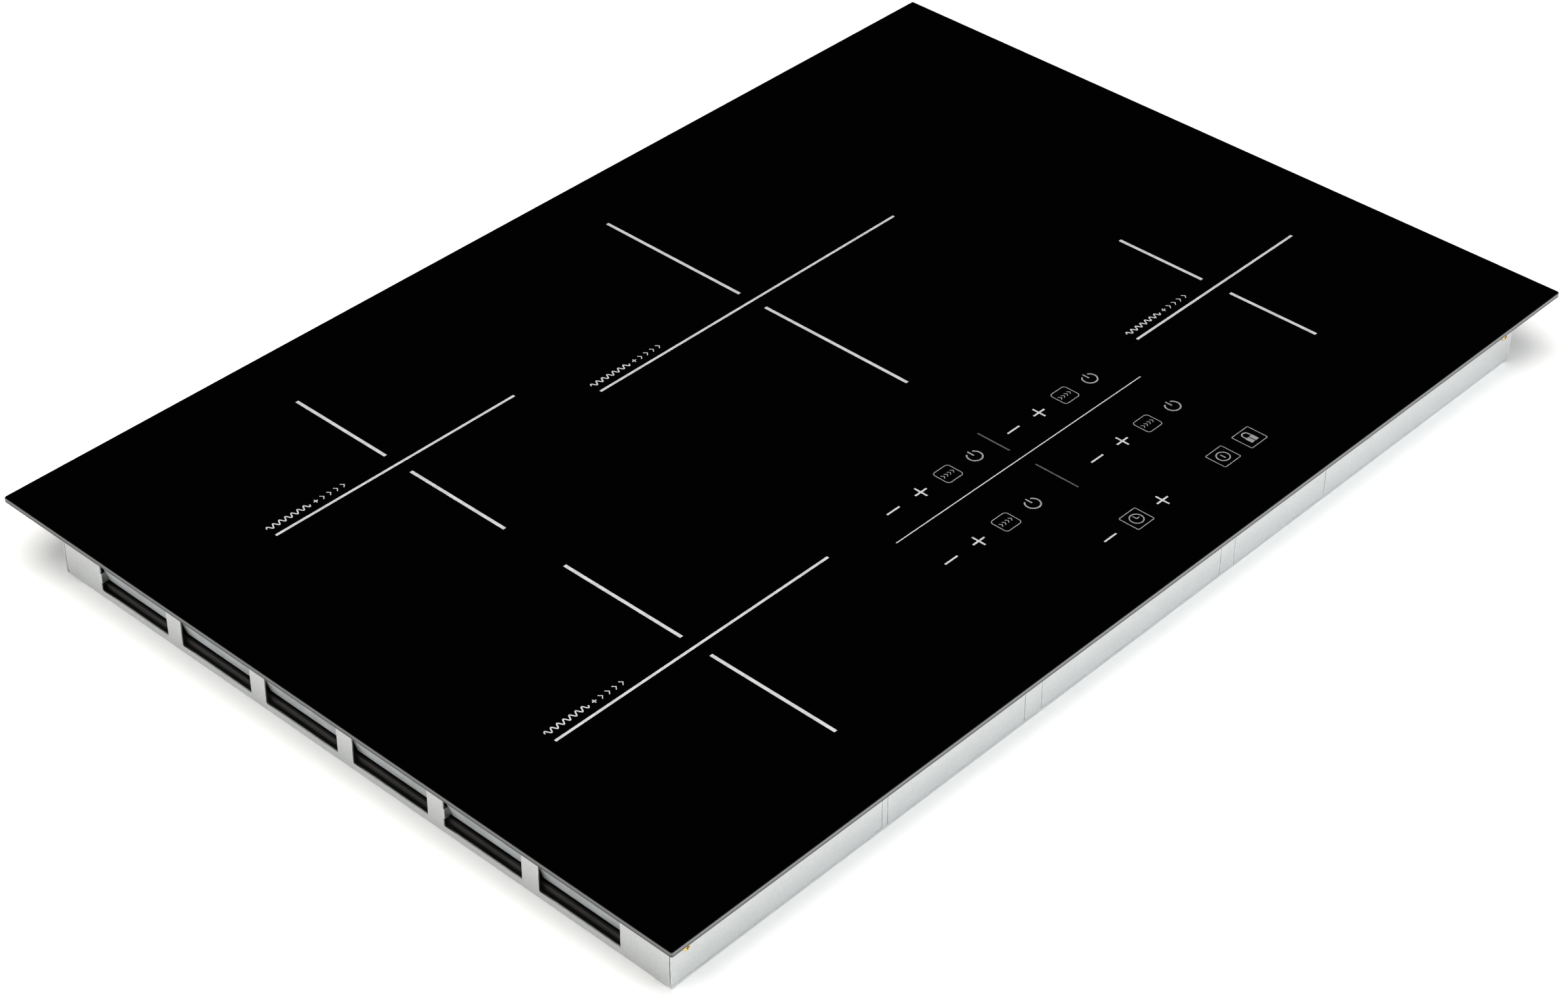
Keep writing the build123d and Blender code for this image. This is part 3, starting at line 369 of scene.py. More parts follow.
# %% [markdown]
# ## One recipe for most finishes
#
# Sheet metal, plastic, rubber, ceramic and lacquer differ mainly in numbers: two tones, how metallic
# they are, how rough, how coarse the grain is and how deep. So one function mixes the groups above into
# a Principled material, and each finish of the appliance is one short call.

# %% The recipe
DUST_COLOUR = (0.42, 0.40, 0.37, 1.0)


def new_finish(name):
    """An empty material with its node tree and its Principled shader."""
    material = bpy.data.materials.new(name)
    material.use_nodes = True
    return material, material.node_tree, material.node_tree.nodes["Principled BSDF"]


def finish(name, tones, metal=0.0, rough=(0.35, 0.5), grain=900.0, stretch=(1.0, 1.0, 1.0), depth=0.02,
           cloud=30.0, edge_wear_and_highlight=None, edge_wear_and_highlight_amount=0.5, dust=0.0, crystals=None, coat=0.0, specular=0.5):
    """A finish of two tones with grain, and, where asked, zinc crystals, a paler edge line and dust; the edge
    line is rubbed edges, and on the tray steel a painted highlight.
    """
    material, tree, shader = new_finish(name)
    shader.inputs["Metallic"].default_value = metal
    shader.inputs["Coat Weight"].default_value = coat
    shader.inputs["Specular IOR Level"].default_value = specular
    first, second = (tone + (1.0,) for tone in tones)
    if crystals:
        base = put(tree, "Group", {"Scale": crystals, "Dark": first, "Light": second}, node_tree=zinc_group)
    else:
        base = put(tree, "Group", {"Scale": cloud, "First": first, "Second": second}, node_tree=cloud_group)
    colour = base.outputs["Colour"]
    # The paler edge colour: rubbed edges on most finishes, and on the tray steel a painted highlight where light
    # catches the edges.
    if edge_wear_and_highlight:
        mask = put(tree, "Group", {"Amount": edge_wear_and_highlight_amount}, node_tree=edge_wear_and_highlight_group).outputs["Mask"]
        colour = mix_colours(tree, mask, colour, edge_wear_and_highlight + (1.0,))
    if dust:
        mask = put(tree, "Group", {"Amount": dust}, node_tree=dust_group).outputs["Mask"]
        colour = mix_colours(tree, mask, colour, DUST_COLOUR)
    values = {"Scale": grain, "Stretch": stretch, "Smoothest": rough[0], "Roughest": rough[1]}
    surface = put(tree, "Group", values, node_tree=grain_group).outputs
    bump = put(tree, "Bump", {"Height": surface["Height"], "Strength": 1.0, "Distance": depth * MM})
    tree.links.new(colour, shader.inputs["Base Color"])
    tree.links.new(surface["Roughness"], shader.inputs["Roughness"])
    tree.links.new(bump.outputs[0], shader.inputs["Normal"])
    return material


print("recipe ready")

# %% [markdown]
# ## The black glass
#
# The top is one sheet of dark glass-ceramic, polished above and left as ground glass on its rim.
# Clear dark glass could be made with transmission, but nothing of the inside shows through the real one,
# so a black dielectric with a very smooth surface gives the same look and stays clean. A mask from the
# surface direction finds the rim: its top edge is polished with the face, and the rest is ground glass
# with painted light on it, a pale painted highlight band above the middle and painted shade, nearly
# black, below it.

# %% Black glass
glass_low, glass_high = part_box("glass_top")
# The rim's dark grey is painted shade, nearly black below the pale band, and its pale level is a painted
# highlight, brightest at the given share of the glass thickness.
RIM_PAINTED_SHADE = 0.006
RIM_PAINTED_HIGHLIGHT = 0.085
GLASS_SHEEN = 0.4
GLASS_BLACK = (0.0003, 0.0003, 0.0004, 1.0)
GRINDING_DEPTH = 0.01 * MM
RIM_TOP = 0.90
PAINTED_HIGHLIGHT_AT = 0.64


def make_black_glass():
    material, tree, shader = new_finish("black_glass")
    facing = put(tree, "SeparateXYZ", {0: put(tree, "NewGeometry").outputs["Normal"]}).outputs["Z"]
    rim = put(tree, "MapRange", {0: maths(tree, "ABSOLUTE", facing), 1: 0.9, 2: 0.5}).outputs[0]
    place = put(tree, "TexCoord").outputs["Object"]
    height = put(tree, "SeparateXYZ", {0: place}).outputs["Z"]
    thick = glass_high.z - glass_low.z
    share = put(tree, "MapRange", {0: height, 1: glass_low.z, 2: glass_low.z + thick}).outputs[0]
    below = put(tree, "MapRange", {0: share, 1: RIM_TOP + 0.06, 2: RIM_TOP - 0.06}).outputs[0]
    rim = maths(tree, "MULTIPLY", rim, below)
    # The rim colour is painted light: a pale painted highlight band above the middle of the rim, and painted
    # shade, nearly black, below it.
    away = maths(tree, "ABSOLUTE", maths(tree, "SUBTRACT", share, PAINTED_HIGHLIGHT_AT))
    band = put(tree, "MapRange", {0: away, 1: 0.30, 2: 0.16}).outputs[0]
    rim_shade_and_highlight = mix_colours(tree, band, grey(RIM_PAINTED_SHADE), grey(RIM_PAINTED_HIGHLIGHT))
    tree.links.new(mix_colours(tree, rim, GLASS_BLACK, rim_shade_and_highlight), shader.inputs["Base Color"])
    smudge = {"Scale": 45.0, "Smoothest": 0.035, "Roughest": 0.06}
    polish = put(tree, "Group", smudge, node_tree=grain_group).outputs["Roughness"]
    rough_rim = put(tree, "Group", {"Scale": 3000.0, "Smoothest": 0.35, "Roughest": 0.5}, node_tree=grain_group)
    rough = put(tree, "Mix", {0: rim, 2: polish, 3: rough_rim.outputs["Roughness"]}, data_type="FLOAT")
    tree.links.new(rough.outputs[0], shader.inputs["Roughness"])
    shader.inputs["Specular IOR Level"].default_value = GLASS_SHEEN
    grinding = {"Height": rough_rim.outputs["Height"], "Strength": rim, "Distance": GRINDING_DEPTH}
    bump = put(tree, "Bump", grinding)
    tree.links.new(bump.outputs[0], shader.inputs["Normal"])
    return material


finishes = {"black_glass": make_black_glass()}
print("glass", round((glass_high.z - glass_low.z) / MM, 1), "mm thick")

# %% [markdown]
# ## Metals
#
# The tray and the frame are cold-rolled steel with a thin zinc coat: pale, a little blue, with soft
# reflections and hardly visible crystals. The screws are yellow-passivated zinc. The coil plate is
# mill-finish aluminium with rolling lines along its length, and the heat sinks are drawn aluminium.

# %% Metals
# The tray steel's pale cream edge colour is a painted highlight, a bright line along every edge where light
# catches it; its crystals and grain are the sheet's own.
finishes["galvanised_steel"] = finish(
    "galvanised_steel", ((0.475, 0.485, 0.487), (0.505, 0.515, 0.517)), metal=1.0, rough=(0.34, 0.46),
    grain=1400.0, stretch=(1.0, 1.0, 0.2), depth=0.004, edge_wear_and_highlight=(0.84, 0.83, 0.76), edge_wear_and_highlight_amount=0.85,
    crystals=900.0)
finishes["yellow_zinc"] = finish(
    "yellow_zinc", ((0.62, 0.42, 0.13), (0.78, 0.60, 0.28)), metal=1.0, rough=(0.22, 0.36), grain=2200.0,
    depth=0.004, cloud=500.0, edge_wear_and_highlight=(0.85, 0.78, 0.6), edge_wear_and_highlight_amount=0.6)
finishes["zinc_steel"] = finish(
    "zinc_steel", ((0.52, 0.53, 0.54), (0.62, 0.63, 0.64)), metal=1.0, rough=(0.25, 0.4), grain=1800.0,
    depth=0.004, cloud=400.0, edge_wear_and_highlight=(0.8, 0.8, 0.8), edge_wear_and_highlight_amount=0.4)
finishes["aluminium_sheet"] = finish(
    "aluminium_sheet", ((0.325, 0.340, 0.350), (0.385, 0.405, 0.415)), metal=0.45, rough=(0.40, 0.70),
    grain=700.0, stretch=(1.0, 0.04, 1.0), depth=0.02, cloud=90.0)
finishes["aluminium_extrusion"] = finish(
    "aluminium_extrusion", ((0.60, 0.60, 0.60), (0.70, 0.70, 0.70)), metal=1.0, rough=(0.28, 0.45), grain=900.0,
    stretch=(0.04, 1.0, 1.0), depth=0.008, cloud=80.0, dust=0.1)
finishes["spring_steel"] = finish(
    "spring_steel", ((0.36, 0.35, 0.34), (0.46, 0.45, 0.43)), metal=1.0, rough=(0.2, 0.32), grain=1500.0,
    stretch=(0.1, 1.0, 1.0), depth=0.004)
finishes["brass_terminals"] = finish(
    "brass_terminals", ((0.62, 0.47, 0.19), (0.74, 0.58, 0.28)), metal=1.0, rough=(0.22, 0.38), grain=1600.0,
    depth=0.004, cloud=300.0, edge_wear_and_highlight=(0.85, 0.74, 0.45), edge_wear_and_highlight_amount=0.4)
finishes["stator_steel"] = finish(
    "stator_steel", ((0.30, 0.31, 0.33), (0.40, 0.41, 0.43)), metal=1.0, rough=(0.35, 0.5), grain=500.0,
    stretch=(0.1, 0.1, 8.0), depth=0.02)
finishes["sintered_bronze"] = finish(
    "sintered_bronze", ((0.40, 0.26, 0.15), (0.52, 0.36, 0.22)), metal=1.0, rough=(0.4, 0.55), grain=3500.0,
    depth=0.02)
print("metal finishes:", len(finishes) - 1)

# %% [markdown]
# ## Plastics, rubber and ceramics
#
# The carriers and blowers are black glass-filled plastic with a fine moulded grain, the terminal block is
# cream. Ferrite is a matt dark ceramic, mica a flaky tan sheet, and the fuse and sensors are white
# ceramic. Non-metals keep Metallic at 0 and get their life from grain, tone drift and dust.

# %% Plastics, rubber and ceramics
finishes["black_plastic"] = finish(
    "black_plastic", ((0.013, 0.012, 0.011), (0.021, 0.019, 0.018)), rough=(0.38, 0.55), grain=1800.0,
    depth=0.03, edge_wear_and_highlight=(0.05, 0.05, 0.05), edge_wear_and_highlight_amount=0.3, dust=0.02)
finishes["cream_plastic"] = finish(
    "cream_plastic", ((0.72, 0.66, 0.50), (0.80, 0.75, 0.60)), rough=(0.3, 0.42), grain=1500.0, depth=0.01,
    dust=0.1)
finishes["former_plastic"] = finish(
    "former_plastic", ((0.030, 0.030, 0.032), (0.045, 0.045, 0.048)), rough=(0.4, 0.6), grain=1600.0,
    depth=0.03, edge_wear_and_highlight=(0.12, 0.12, 0.12), edge_wear_and_highlight_amount=0.3, dust=0.15)
finishes["impeller_plastic"] = finish(
    "impeller_plastic", ((0.040, 0.042, 0.045), (0.060, 0.062, 0.066)), rough=(0.3, 0.45), grain=2000.0,
    depth=0.012, edge_wear_and_highlight=(0.16, 0.16, 0.16), edge_wear_and_highlight_amount=0.4, dust=0.2)
finishes["silicone_seal"] = finish(
    "silicone_seal", ((0.012, 0.012, 0.012), (0.022, 0.022, 0.022)), rough=(0.5, 0.7), grain=700.0, depth=0.06)
finishes["black_rubber"] = finish(
    "black_rubber", ((0.014, 0.014, 0.014), (0.024, 0.024, 0.024)), rough=(0.5, 0.68), grain=2600.0,
    depth=0.02, dust=0.2)
finishes["lead_insulation"] = finish(
    "lead_insulation", ((0.60, 0.58, 0.53), (0.70, 0.68, 0.62)), rough=(0.45, 0.65), grain=900.0,
    stretch=(1.0, 1.0, 3.0), depth=0.05)
finishes["ribbon_insulation"] = finish(
    "ribbon_insulation", ((0.45, 0.46, 0.47), (0.54, 0.55, 0.56)), rough=(0.35, 0.5), grain=790.0,
    stretch=(0.02, 1.0, 0.02), depth=0.12, cloud=200.0)
finishes["capacitor_case"] = finish(
    "capacitor_case", ((0.62, 0.40, 0.06), (0.72, 0.49, 0.10)), rough=(0.25, 0.38), grain=1200.0, depth=0.01,
    edge_wear_and_highlight=(0.8, 0.66, 0.35), edge_wear_and_highlight_amount=0.25, dust=0.12)
finishes["fuse_ceramic"] = finish(
    "fuse_ceramic", ((0.70, 0.68, 0.62), (0.78, 0.76, 0.70)), rough=(0.25, 0.4), grain=1500.0, depth=0.01)
finishes["sensor_ceramic"] = finish(
    "sensor_ceramic", ((0.68, 0.66, 0.62), (0.78, 0.76, 0.73)), rough=(0.35, 0.5), grain=2500.0, depth=0.015)
finishes["ferrite"] = finish(
    "ferrite", ((0.030, 0.030, 0.033), (0.052, 0.052, 0.056)), rough=(0.4, 0.6), grain=2600.0, depth=0.03,
    edge_wear_and_highlight=(0.14, 0.14, 0.15), edge_wear_and_highlight_amount=0.5)
finishes["device_epoxy"] = finish(
    "device_epoxy", ((0.016, 0.016, 0.017), (0.026, 0.026, 0.028)), rough=(0.42, 0.6), grain=3200.0, depth=0.015)
finishes["display_lens"] = finish(
    "display_lens", ((0.060, 0.010, 0.010), (0.085, 0.015, 0.014)), rough=(0.1, 0.2), grain=600.0, depth=0.004,
    coat=0.5)
finishes["mica"] = finish(
    "mica", ((0.46, 0.36, 0.22), (0.66, 0.55, 0.38)), rough=(0.3, 0.55), grain=1200.0, depth=0.02,
    crystals=90.0, coat=0.2)
print("finishes so far:", len(finishes))

# %% [markdown]
# ## Circuit boards
#
# A board is green solder mask over copper tracks, which show as slightly raised, paler paths that run
# square to the board. A Voronoi texture measured in straight steps has just such right-angled borders,
# so the distance to its cell borders draws the tracks, and small round pads are drawn by a second one.


# %% Circuit board
def make_circuit_board():
    material, tree, shader = new_finish("circuit_board")
    place = put(tree, "TexCoord").outputs["Object"]
    flat = put(tree, "VectorMath", {0: place, 1: (1.0, 1.0, 0.0)}, operation="MULTIPLY").outputs[0]
    cells = put(tree, "TexVoronoi", {"Vector": flat, "Scale": 190.0}, distance="CHEBYCHEV", feature="F1")
    fill = put(tree, "MapRange", {0: cells.outputs["Distance"], 1: 0.42, 2: 0.46}).outputs[0]
    pads = put(tree, "TexVoronoi", {"Vector": flat, "Scale": 260.0, "Randomness": 0.6}).outputs["Distance"]
    pad = put(tree, "MapRange", {0: pads, 1: 0.16, 2: 0.13}).outputs[0]
    mask_green = mix_colours(tree, fill, (0.012, 0.075, 0.030, 1.0), (0.022, 0.135, 0.055, 1.0))
    colour = mix_colours(tree, pad, mask_green, (0.60, 0.60, 0.58, 1.0))
    dust = put(tree, "Group", {"Amount": 0.15}, node_tree=dust_group).outputs["Mask"]
    tree.links.new(mix_colours(tree, dust, colour, DUST_COLOUR), shader.inputs["Base Color"])
    gloss = put(tree, "Group", {"Scale": 500.0, "Smoothest": 0.22, "Roughest": 0.4}, node_tree=grain_group)
    tree.links.new(gloss.outputs["Roughness"], shader.inputs["Roughness"])
    height = maths(tree, "ADD", fill, pad)
    bump = put(tree, "Bump", {"Height": height, "Strength": 0.6, "Distance": 0.05 * MM})
    tree.links.new(bump.outputs[0], shader.inputs["Normal"])
    return material


finishes["circuit_board"] = make_circuit_board()
print("board finish made")

# %% [markdown]
# ## Copper
#
# The coils are wound from litz, a rope of many hair-thin lacquered strands, and the chokes from one thick
# lacquered wire. Both are copper under clear lacquer, redder in the gaps between strands.

# %% Copper
finishes["litz_copper"] = finish(
    "litz_copper", ((0.42, 0.17, 0.07), (0.66, 0.31, 0.14)), metal=0.85, rough=(0.28, 0.46), grain=1700.0,
    depth=0.06, cloud=350.0, coat=0.3)
finishes["wound_core"] = finish(
    "wound_core", ((0.40, 0.15, 0.06), (0.62, 0.28, 0.12)), metal=0.8, rough=(0.24, 0.4), grain=1300.0,
    depth=0.04, cloud=300.0, coat=0.4)
print("all finishes:", len(finishes))

# %% [markdown]
# ## Finishes on the CAD nodes
#
# The record says which material slot each node belongs to. A node's mesh is never changed; only the
# material in its slot is, so each finish made above goes to every node of its name.

# %% Dress the CAD nodes
slot_of = {part["node"]: part["material_slot"] for part in frame["record"]["subparts"]}
for node_name, node in frame["nodes"].items():
    coat = finishes[slot_of[node_name]]
    if not node.material_slots:
        node.data.materials.append(coat)
    for place in node.material_slots:
        place.material = coat
print("nodes with a finish:", len(slot_of))

# %% [markdown]
# ## The print on the glass
#
# The marks are fired-on enamel, a few hundredths of a millimetre thick. They could be painted with a
# mask in the glass material, but then their edges would be as soft as the mask. Real outlines are
# crisper, so each mark is a very thin closed solid: `stroke` lays a band of constant width along a
# line, and `patch` fills an outline. Both stand on the glass and are sunk a hair into it.

# %% Printing tools
INK_ABOVE = 0.02 * MM
INK_BELOW = 0.02 * MM
INK_LOW = glass_high.z - INK_BELOW
INK_HIGH = glass_high.z + INK_ABOVE


def patch(build, outline):
    """A thin closed solid from an outline in mm, given anticlockwise."""
    low = [build.verts.new((x * MM, y * MM, INK_LOW)) for x, y in outline]
    high = [build.verts.new((x * MM, y * MM, INK_HIGH)) for x, y in outline]
    build.faces.new(high)
    build.faces.new(list(reversed(low)))
    for i in range(len(outline)):
        j = (i + 1) % len(outline)
        build.faces.new((low[i], low[j], high[j], high[i]))


def side_points(points, half, closed):
    """The points moved half a width to the left of the line, with mitred corners."""
    moved = []
    count = len(points)
    for i, (x, y) in enumerate(points):
        before = points[i - 1] if i or closed else None
        after = points[(i + 1) % count] if i < count - 1 or closed else None
        normals = []
        for start, end in ((before, (x, y)), ((x, y), after)):
            if start and end:
                step = Vector((end[0] - start[0], end[1] - start[1])).normalized()
                normals.append(Vector((-step.y, step.x)))
        normal = sum(normals, Vector((0.0, 0.0))).normalized()
        reach = half / max(normal.dot(normals[0]), 0.35)
        moved.append((x + normal.x * reach, y + normal.y * reach))
    return moved


def stroke(build, points, width, closed=False):
    """A thin closed band of constant width along a line of points in mm."""
    left = side_points(points, width / 2, closed)
    right = side_points(points, -width / 2, closed)
    if not closed:
        patch(build, right + left[::-1])
        return
    rings = []
    for side in (left, right):
        for level in (INK_LOW, INK_HIGH):
            rings.append([build.verts.new((x * MM, y * MM, level)) for x, y in side])
    left_low, left_high, right_low, right_high = rings
    for i in range(len(points)):
        j = (i + 1) % len(points)
        build.faces.new((right_high[i], right_high[j], left_high[j], left_high[i]))
        build.faces.new((right_low[j], right_low[i], left_low[i], left_low[j]))
        build.faces.new((left_low[i], left_high[i], left_high[j], left_low[j]))
        build.faces.new((right_low[j], right_high[j], right_high[i], right_low[i]))


def arc(x, y, radius, start, end, steps=28):
    """Points along an arc, angles in degrees."""
    angles = [math.radians(start + (end - start) * i / steps) for i in range(steps + 1)]
    return [(x + radius * math.cos(a), y + radius * math.sin(a)) for a in angles]


def circle(x, y, radius):
    return arc(x, y, radius, 0.0, 360.0, 40)[:-1]


def rounded_box(x, y, width, height, corner):
    points = []
    for turn, dx, dy in ((0.0, 1, 1), (90.0, -1, 1), (180.0, -1, -1), (270.0, 1, -1)):
        cx = x + dx * (width / 2 - corner)
        cy = y + dy * (height / 2 - corner)
        points += arc(cx, cy, corner, turn, turn + 90.0, 6)
    return points


def plus_outline(x, y, reach, half):
    """The twelve corners of a plus sign."""
    return [(x + dx, y + dy) for dx, dy in (
        (reach, -half), (reach, half), (half, half), (half, reach), (-half, reach), (-half, half),
        (-reach, half), (-reach, -half), (-half, -half), (-half, -reach), (half, -reach), (half, -half))]


def print_piece(name, draw, ink):
    """Makes one printed piece: draw fills a bmesh, ink is its material."""
    build = bmesh.new()
    draw(build)
    bmesh.ops.recalc_face_normals(build, faces=build.faces)
    mesh = bpy.data.meshes.new(name)
    build.to_mesh(mesh)
    build.free()
    mesh.materials.append(ink)
    piece = bpy.data.objects.new(name, mesh)
    scene.collection.objects.link(piece)
    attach(piece, "appliance")
    print(name, len(mesh.polygons), "faces")
    return piece


print("ink", round((INK_HIGH - INK_LOW) / MM, 3), "mm thick")

# %% [markdown]
# ### Enamel inks
#
# Three enamels are used: a pale one for the zones, the minus and plus keys and the long line, a softer
# one for the framed keys and power rings, and a dim one for the short lines between groups.

# %% Enamel inks
pale_ink = finish("pale_enamel", ((0.44, 0.44, 0.45), (0.54, 0.54, 0.55)), rough=(0.35, 0.5), grain=4000.0,
                  depth=0.002, cloud=300.0)
soft_ink = finish("soft_enamel", ((0.22, 0.22, 0.225), (0.29, 0.29, 0.295)), rough=(0.35, 0.5), grain=4000.0,
                  depth=0.002, cloud=300.0)
dim_ink = finish("dim_enamel", ((0.07, 0.07, 0.07), (0.10, 0.10, 0.10)), rough=(0.35, 0.5), grain=4000.0,
                 depth=0.002, cloud=300.0)
print("inks made")

# %% [markdown]
# ### Zone crosses
#
# Each zone is a cross through the middle of its coil: the bar from left to right is whole, and the other
# one stops short of it. A small sign by the bar's left end says what the zone does: a wave for induction,
# a plus, and arrowheads for extra power. The middles come from the coils' boxes.

# %% Zone crosses
# zone: half length of the bar along X and along Y, in mm
ZONE_REACH = {
    "rear_left": (90.2, 87.2),
    "front_left": (103.5, 99.3),
    "rear_centre": (128.9, 124.0),
    "front_right": (77.3, 74.2),
}
BAR_WIDTH = 1.7
BROKEN_BAR_WIDTH = 2.2
BAR_GAP = 10.7
SIGN_ABOVE_BAR = 7.5
SIGN_HEIGHT = 3.7
WAVE_LENGTH = 31.0
WAVE_COUNT = 7
SIGN_PLUS_AT = 35.3
ARROWS_AT = (40.5, 45.5, 50.5, 55.5)


def zone_middle(name):
    low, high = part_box("winding_" + name)
    middle = (low + high) / 2 / MM
    return middle.x, middle.y


def arrowhead(build, x, y, height, width):
    half = height / 2
    stroke(build, [(x - half * 0.45, y - half), (x + half * 0.45, y), (x - half * 0.45, y + half)], width)


def draw_zone(build, name):
    x, y = zone_middle(name)
    reach_x, reach_y = ZONE_REACH[name]
    stroke(build, [(x - reach_x, y), (x + reach_x, y)], BAR_WIDTH)
    stroke(build, [(x, y + BAR_GAP), (x, y + reach_y)], BROKEN_BAR_WIDTH)
    stroke(build, [(x, y - reach_y), (x, y - BAR_GAP)], BROKEN_BAR_WIDTH)
    left, level = x - reach_x, y + SIGN_ABOVE_BAR
    steps = 14 * WAVE_COUNT
    wave = [(left + WAVE_LENGTH * i / steps,
             level + SIGN_HEIGHT / 2 * 0.85 * math.sin(2 * math.pi * WAVE_COUNT * i / steps))
            for i in range(steps + 1)]
    stroke(build, wave, 0.8)
    patch(build, plus_outline(left + SIGN_PLUS_AT, level, 1.5, 0.35))
    for offset in ARROWS_AT:
        arrowhead(build, left + offset, level, SIGN_HEIGHT, 0.55)


for zone in ZONE_REACH:
    print_piece("print_zone_" + zone, lambda build, zone=zone: draw_zone(build, zone), pale_ink)

# %% [markdown]
# ### Touch keys
#
# Each zone has four keys: minus, plus, extra power and on-off. The front row has the timer with its
# minus and plus, the main switch and the child lock. They are drawn as a stencil maker would, from
# straight strokes and arcs of one width for each kind of sign.

# %% Touch keys
KEY_ROWS = (
    (-109.5, ((-54.8, -31.5, -8.2, 15.0), (49.3, 72.2, 95.9, 118.9))),
    (-161.6, ((-66.2, -43.1, -19.7, 3.5), (60.6, 83.5, 106.9, 130.4))),
)
FRONT_ROW = -212.3
TIMER_KEYS = (8.8, 32.1, 55.3)
MAIN_KEY = 111.2
LOCK_KEY = 136.2
SIGN_WIDTH = 1.15
FRAME_WIDTH = 0.5


def draw_minus(build, x, y):
    stroke(build, [(x - 5.2, y), (x + 5.2, y)], SIGN_WIDTH)


def draw_plus(build, x, y):
    patch(build, plus_outline(x, y, 4.8, SIGN_WIDTH / 2))


def draw_power(build, x, y):
    """A ring open at the back, with a short bar in the opening."""
    stroke(build, arc(x, y, 4.6, 122.0, 418.0), 0.95)
    stroke(build, [(x, y + 0.6), (x, y + 5.4)], 0.95)


def draw_extra(build, x, y):
    """A rounded frame with three arrowheads across its middle."""
    stroke(build, rounded_box(x, y, 13.0, 12.6, 2.2), FRAME_WIDTH, closed=True)
    for offset in (-3.9, -1.3, 1.3, 3.9):
        arrowhead(build, x + offset, y, 3.0, 0.45)


def draw_timer(build, x, y):
    stroke(build, rounded_box(x, y, 14.2, 14.0, 0.9), FRAME_WIDTH, closed=True)
    stroke(build, circle(x, y, 4.1), 0.7, closed=True)
    stroke(build, [(x, y + 2.8), (x, y), (x + 2.2, y)], 0.6)


def draw_main_switch(build, x, y):
    stroke(build, rounded_box(x, y, 14.6, 14.3, 0.9), FRAME_WIDTH, closed=True)
    stroke(build, circle(x, y, 4.0), 0.75, closed=True)
    stroke(build, [(x, y - 1.9), (x, y + 1.9)], 0.75)


def draw_lock(build, x, y):
    """A padlock: a filled body with a slit for the keyhole, and a shackle."""
    stroke(build, rounded_box(x, y, 15.0, 14.5, 0.9), FRAME_WIDTH, closed=True)
    top, bottom, half, slit = y + 0.6, y - 4.2, 3.2, 0.35
    patch(build, [(x - half, bottom), (x - slit, bottom), (x - slit, top), (x - half, top)])
    patch(build, [(x + slit, bottom), (x + half, bottom), (x + half, top), (x + slit, top)])
    stroke(build, [(x + 2.4, top)] + arc(x, top + 2.0, 2.4, 0.0, 180.0, 16) + [(x - 2.4, top)], 0.9)


def draw_plain_keys(build):
    for y, groups in KEY_ROWS:
        for minus_x, plus_x, _, _ in groups:
            draw_minus(build, minus_x, y)
            draw_plus(build, plus_x, y)
    minus_x, _, plus_x = TIMER_KEYS
    draw_minus(build, minus_x, FRONT_ROW)
    draw_plus(build, plus_x, FRONT_ROW)
    stroke(build, [(-75.5, -129.9), (140.6, -129.9)], 0.65)


def draw_sign_keys(build):
    for y, groups in KEY_ROWS:
        for _, _, extra_x, power_x in groups:
            draw_extra(build, extra_x, y)
            draw_power(build, power_x, y)
    draw_timer(build, TIMER_KEYS[1], FRONT_ROW)
    draw_main_switch(build, MAIN_KEY, FRONT_ROW)
    draw_lock(build, LOCK_KEY, FRONT_ROW)


def draw_dim_lines(build):
    stroke(build, [(32.6, -120.6), (32.6, -96.7)], 0.9)
    stroke(build, [(32.6, -170.6), (32.6, -139.5)], 0.9)


print_piece("print_plain_keys", draw_plain_keys, pale_ink)
print_piece("print_sign_keys", draw_sign_keys, soft_ink)
print_piece("print_dim_lines", draw_dim_lines, dim_ink)

# %% [markdown]
# ## Coils of litz wire
#
# Under each zone lies a flat coil. It is one long rope of thin lacquered strands, laid in a spiral from
# the middle outwards, and the CAD model has only a grooved disc in its place. A curve with a bevel would
# give a smooth tube, so the rope is built from short sections instead: each has five raised strands and
# is turned a little further than the last one, and that turning is the twist of the rope.

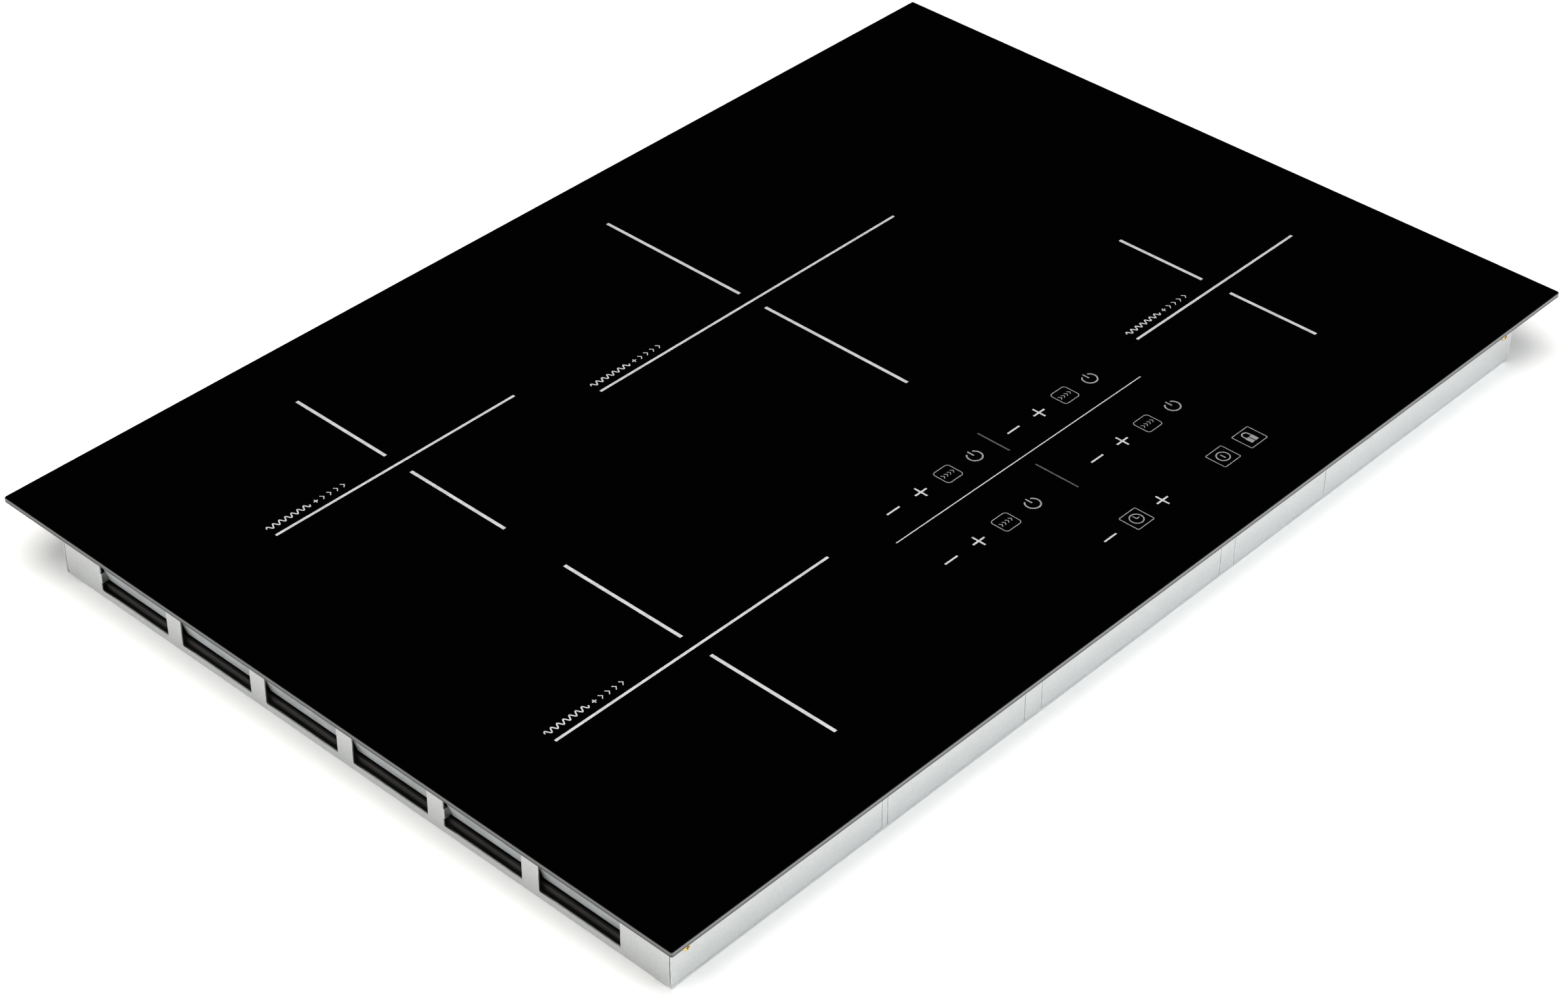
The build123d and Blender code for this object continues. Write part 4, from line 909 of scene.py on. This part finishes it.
# %% Rope sections
WINDING_BORE = 22.0 * MM
TURN_PITCH = 5.0 * MM
STRANDS = 5
STRAND_DEPTH = 0.86
SECTION_STEP = 4.0 * MM
TWIST_LENGTH = 34.0 * MM


def rope_section(build, centre, outward, half_width, half_height, turn):
    """One ring of vertices: every second one stands back, so the others read as strands."""
    ring = []
    for k in range(2 * STRANDS):
        angle = math.pi * k / STRANDS + turn
        reach = 1.0 if k % 2 else STRAND_DEPTH
        side = outward * (half_width * reach * math.cos(angle))
        rise = Vector((0.0, 0.0, half_height * reach * math.sin(angle)))
        ring.append(build.verts.new(centre + side + rise))
    return ring


def join_sections(build, rings):
    count = len(rings[0])
    for first, second in zip(rings, rings[1:]):
        for k in range(count):
            n = (k + 1) % count
            build.faces.new((first[k], first[n], second[n], second[k]))
    build.faces.new(rings[0][::-1])
    build.faces.new(rings[-1])


print("strands in the rope:", STRANDS)

# %% Wind the four coils


def wind_coil(zone):
    low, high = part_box("winding_" + zone)
    middle = (low + high) / 2
    outside = (high.x - low.x) / 2
    half_width, half_height = TURN_PITCH * 0.48, (high.z - low.z) / 2
    last = outside - half_width
    radius, angle, length = WINDING_BORE + half_width, 0.0, 0.0
    build = bmesh.new()
    rings = []
    while radius < last:
        outward = Vector((math.cos(angle), math.sin(angle), 0.0))
        turn = 2 * math.pi * length / TWIST_LENGTH
        centre = middle + outward * radius
        rings.append(rope_section(build, centre, outward, half_width, half_height, turn))
        step = SECTION_STEP / radius
        angle += step
        radius += TURN_PITCH * step / (2 * math.pi)
        length += SECTION_STEP
    join_sections(build, rings)
    bmesh.ops.recalc_face_normals(build, faces=build.faces)
    mesh = bpy.data.meshes.new("litz_coil_" + zone)
    build.to_mesh(mesh)
    build.free()
    mesh.polygons.foreach_set("use_smooth", [True] * len(mesh.polygons))
    mesh.materials.append(finishes["litz_copper"])
    coil = bpy.data.objects.new("litz_coil_" + zone, mesh)
    scene.collection.objects.link(coil)
    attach(coil, "appliance")
    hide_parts("winding_" + zone)
    print(coil.name, round(length, 2), "m of rope")


for zone in ZONE_REACH:
    wind_coil(zone)
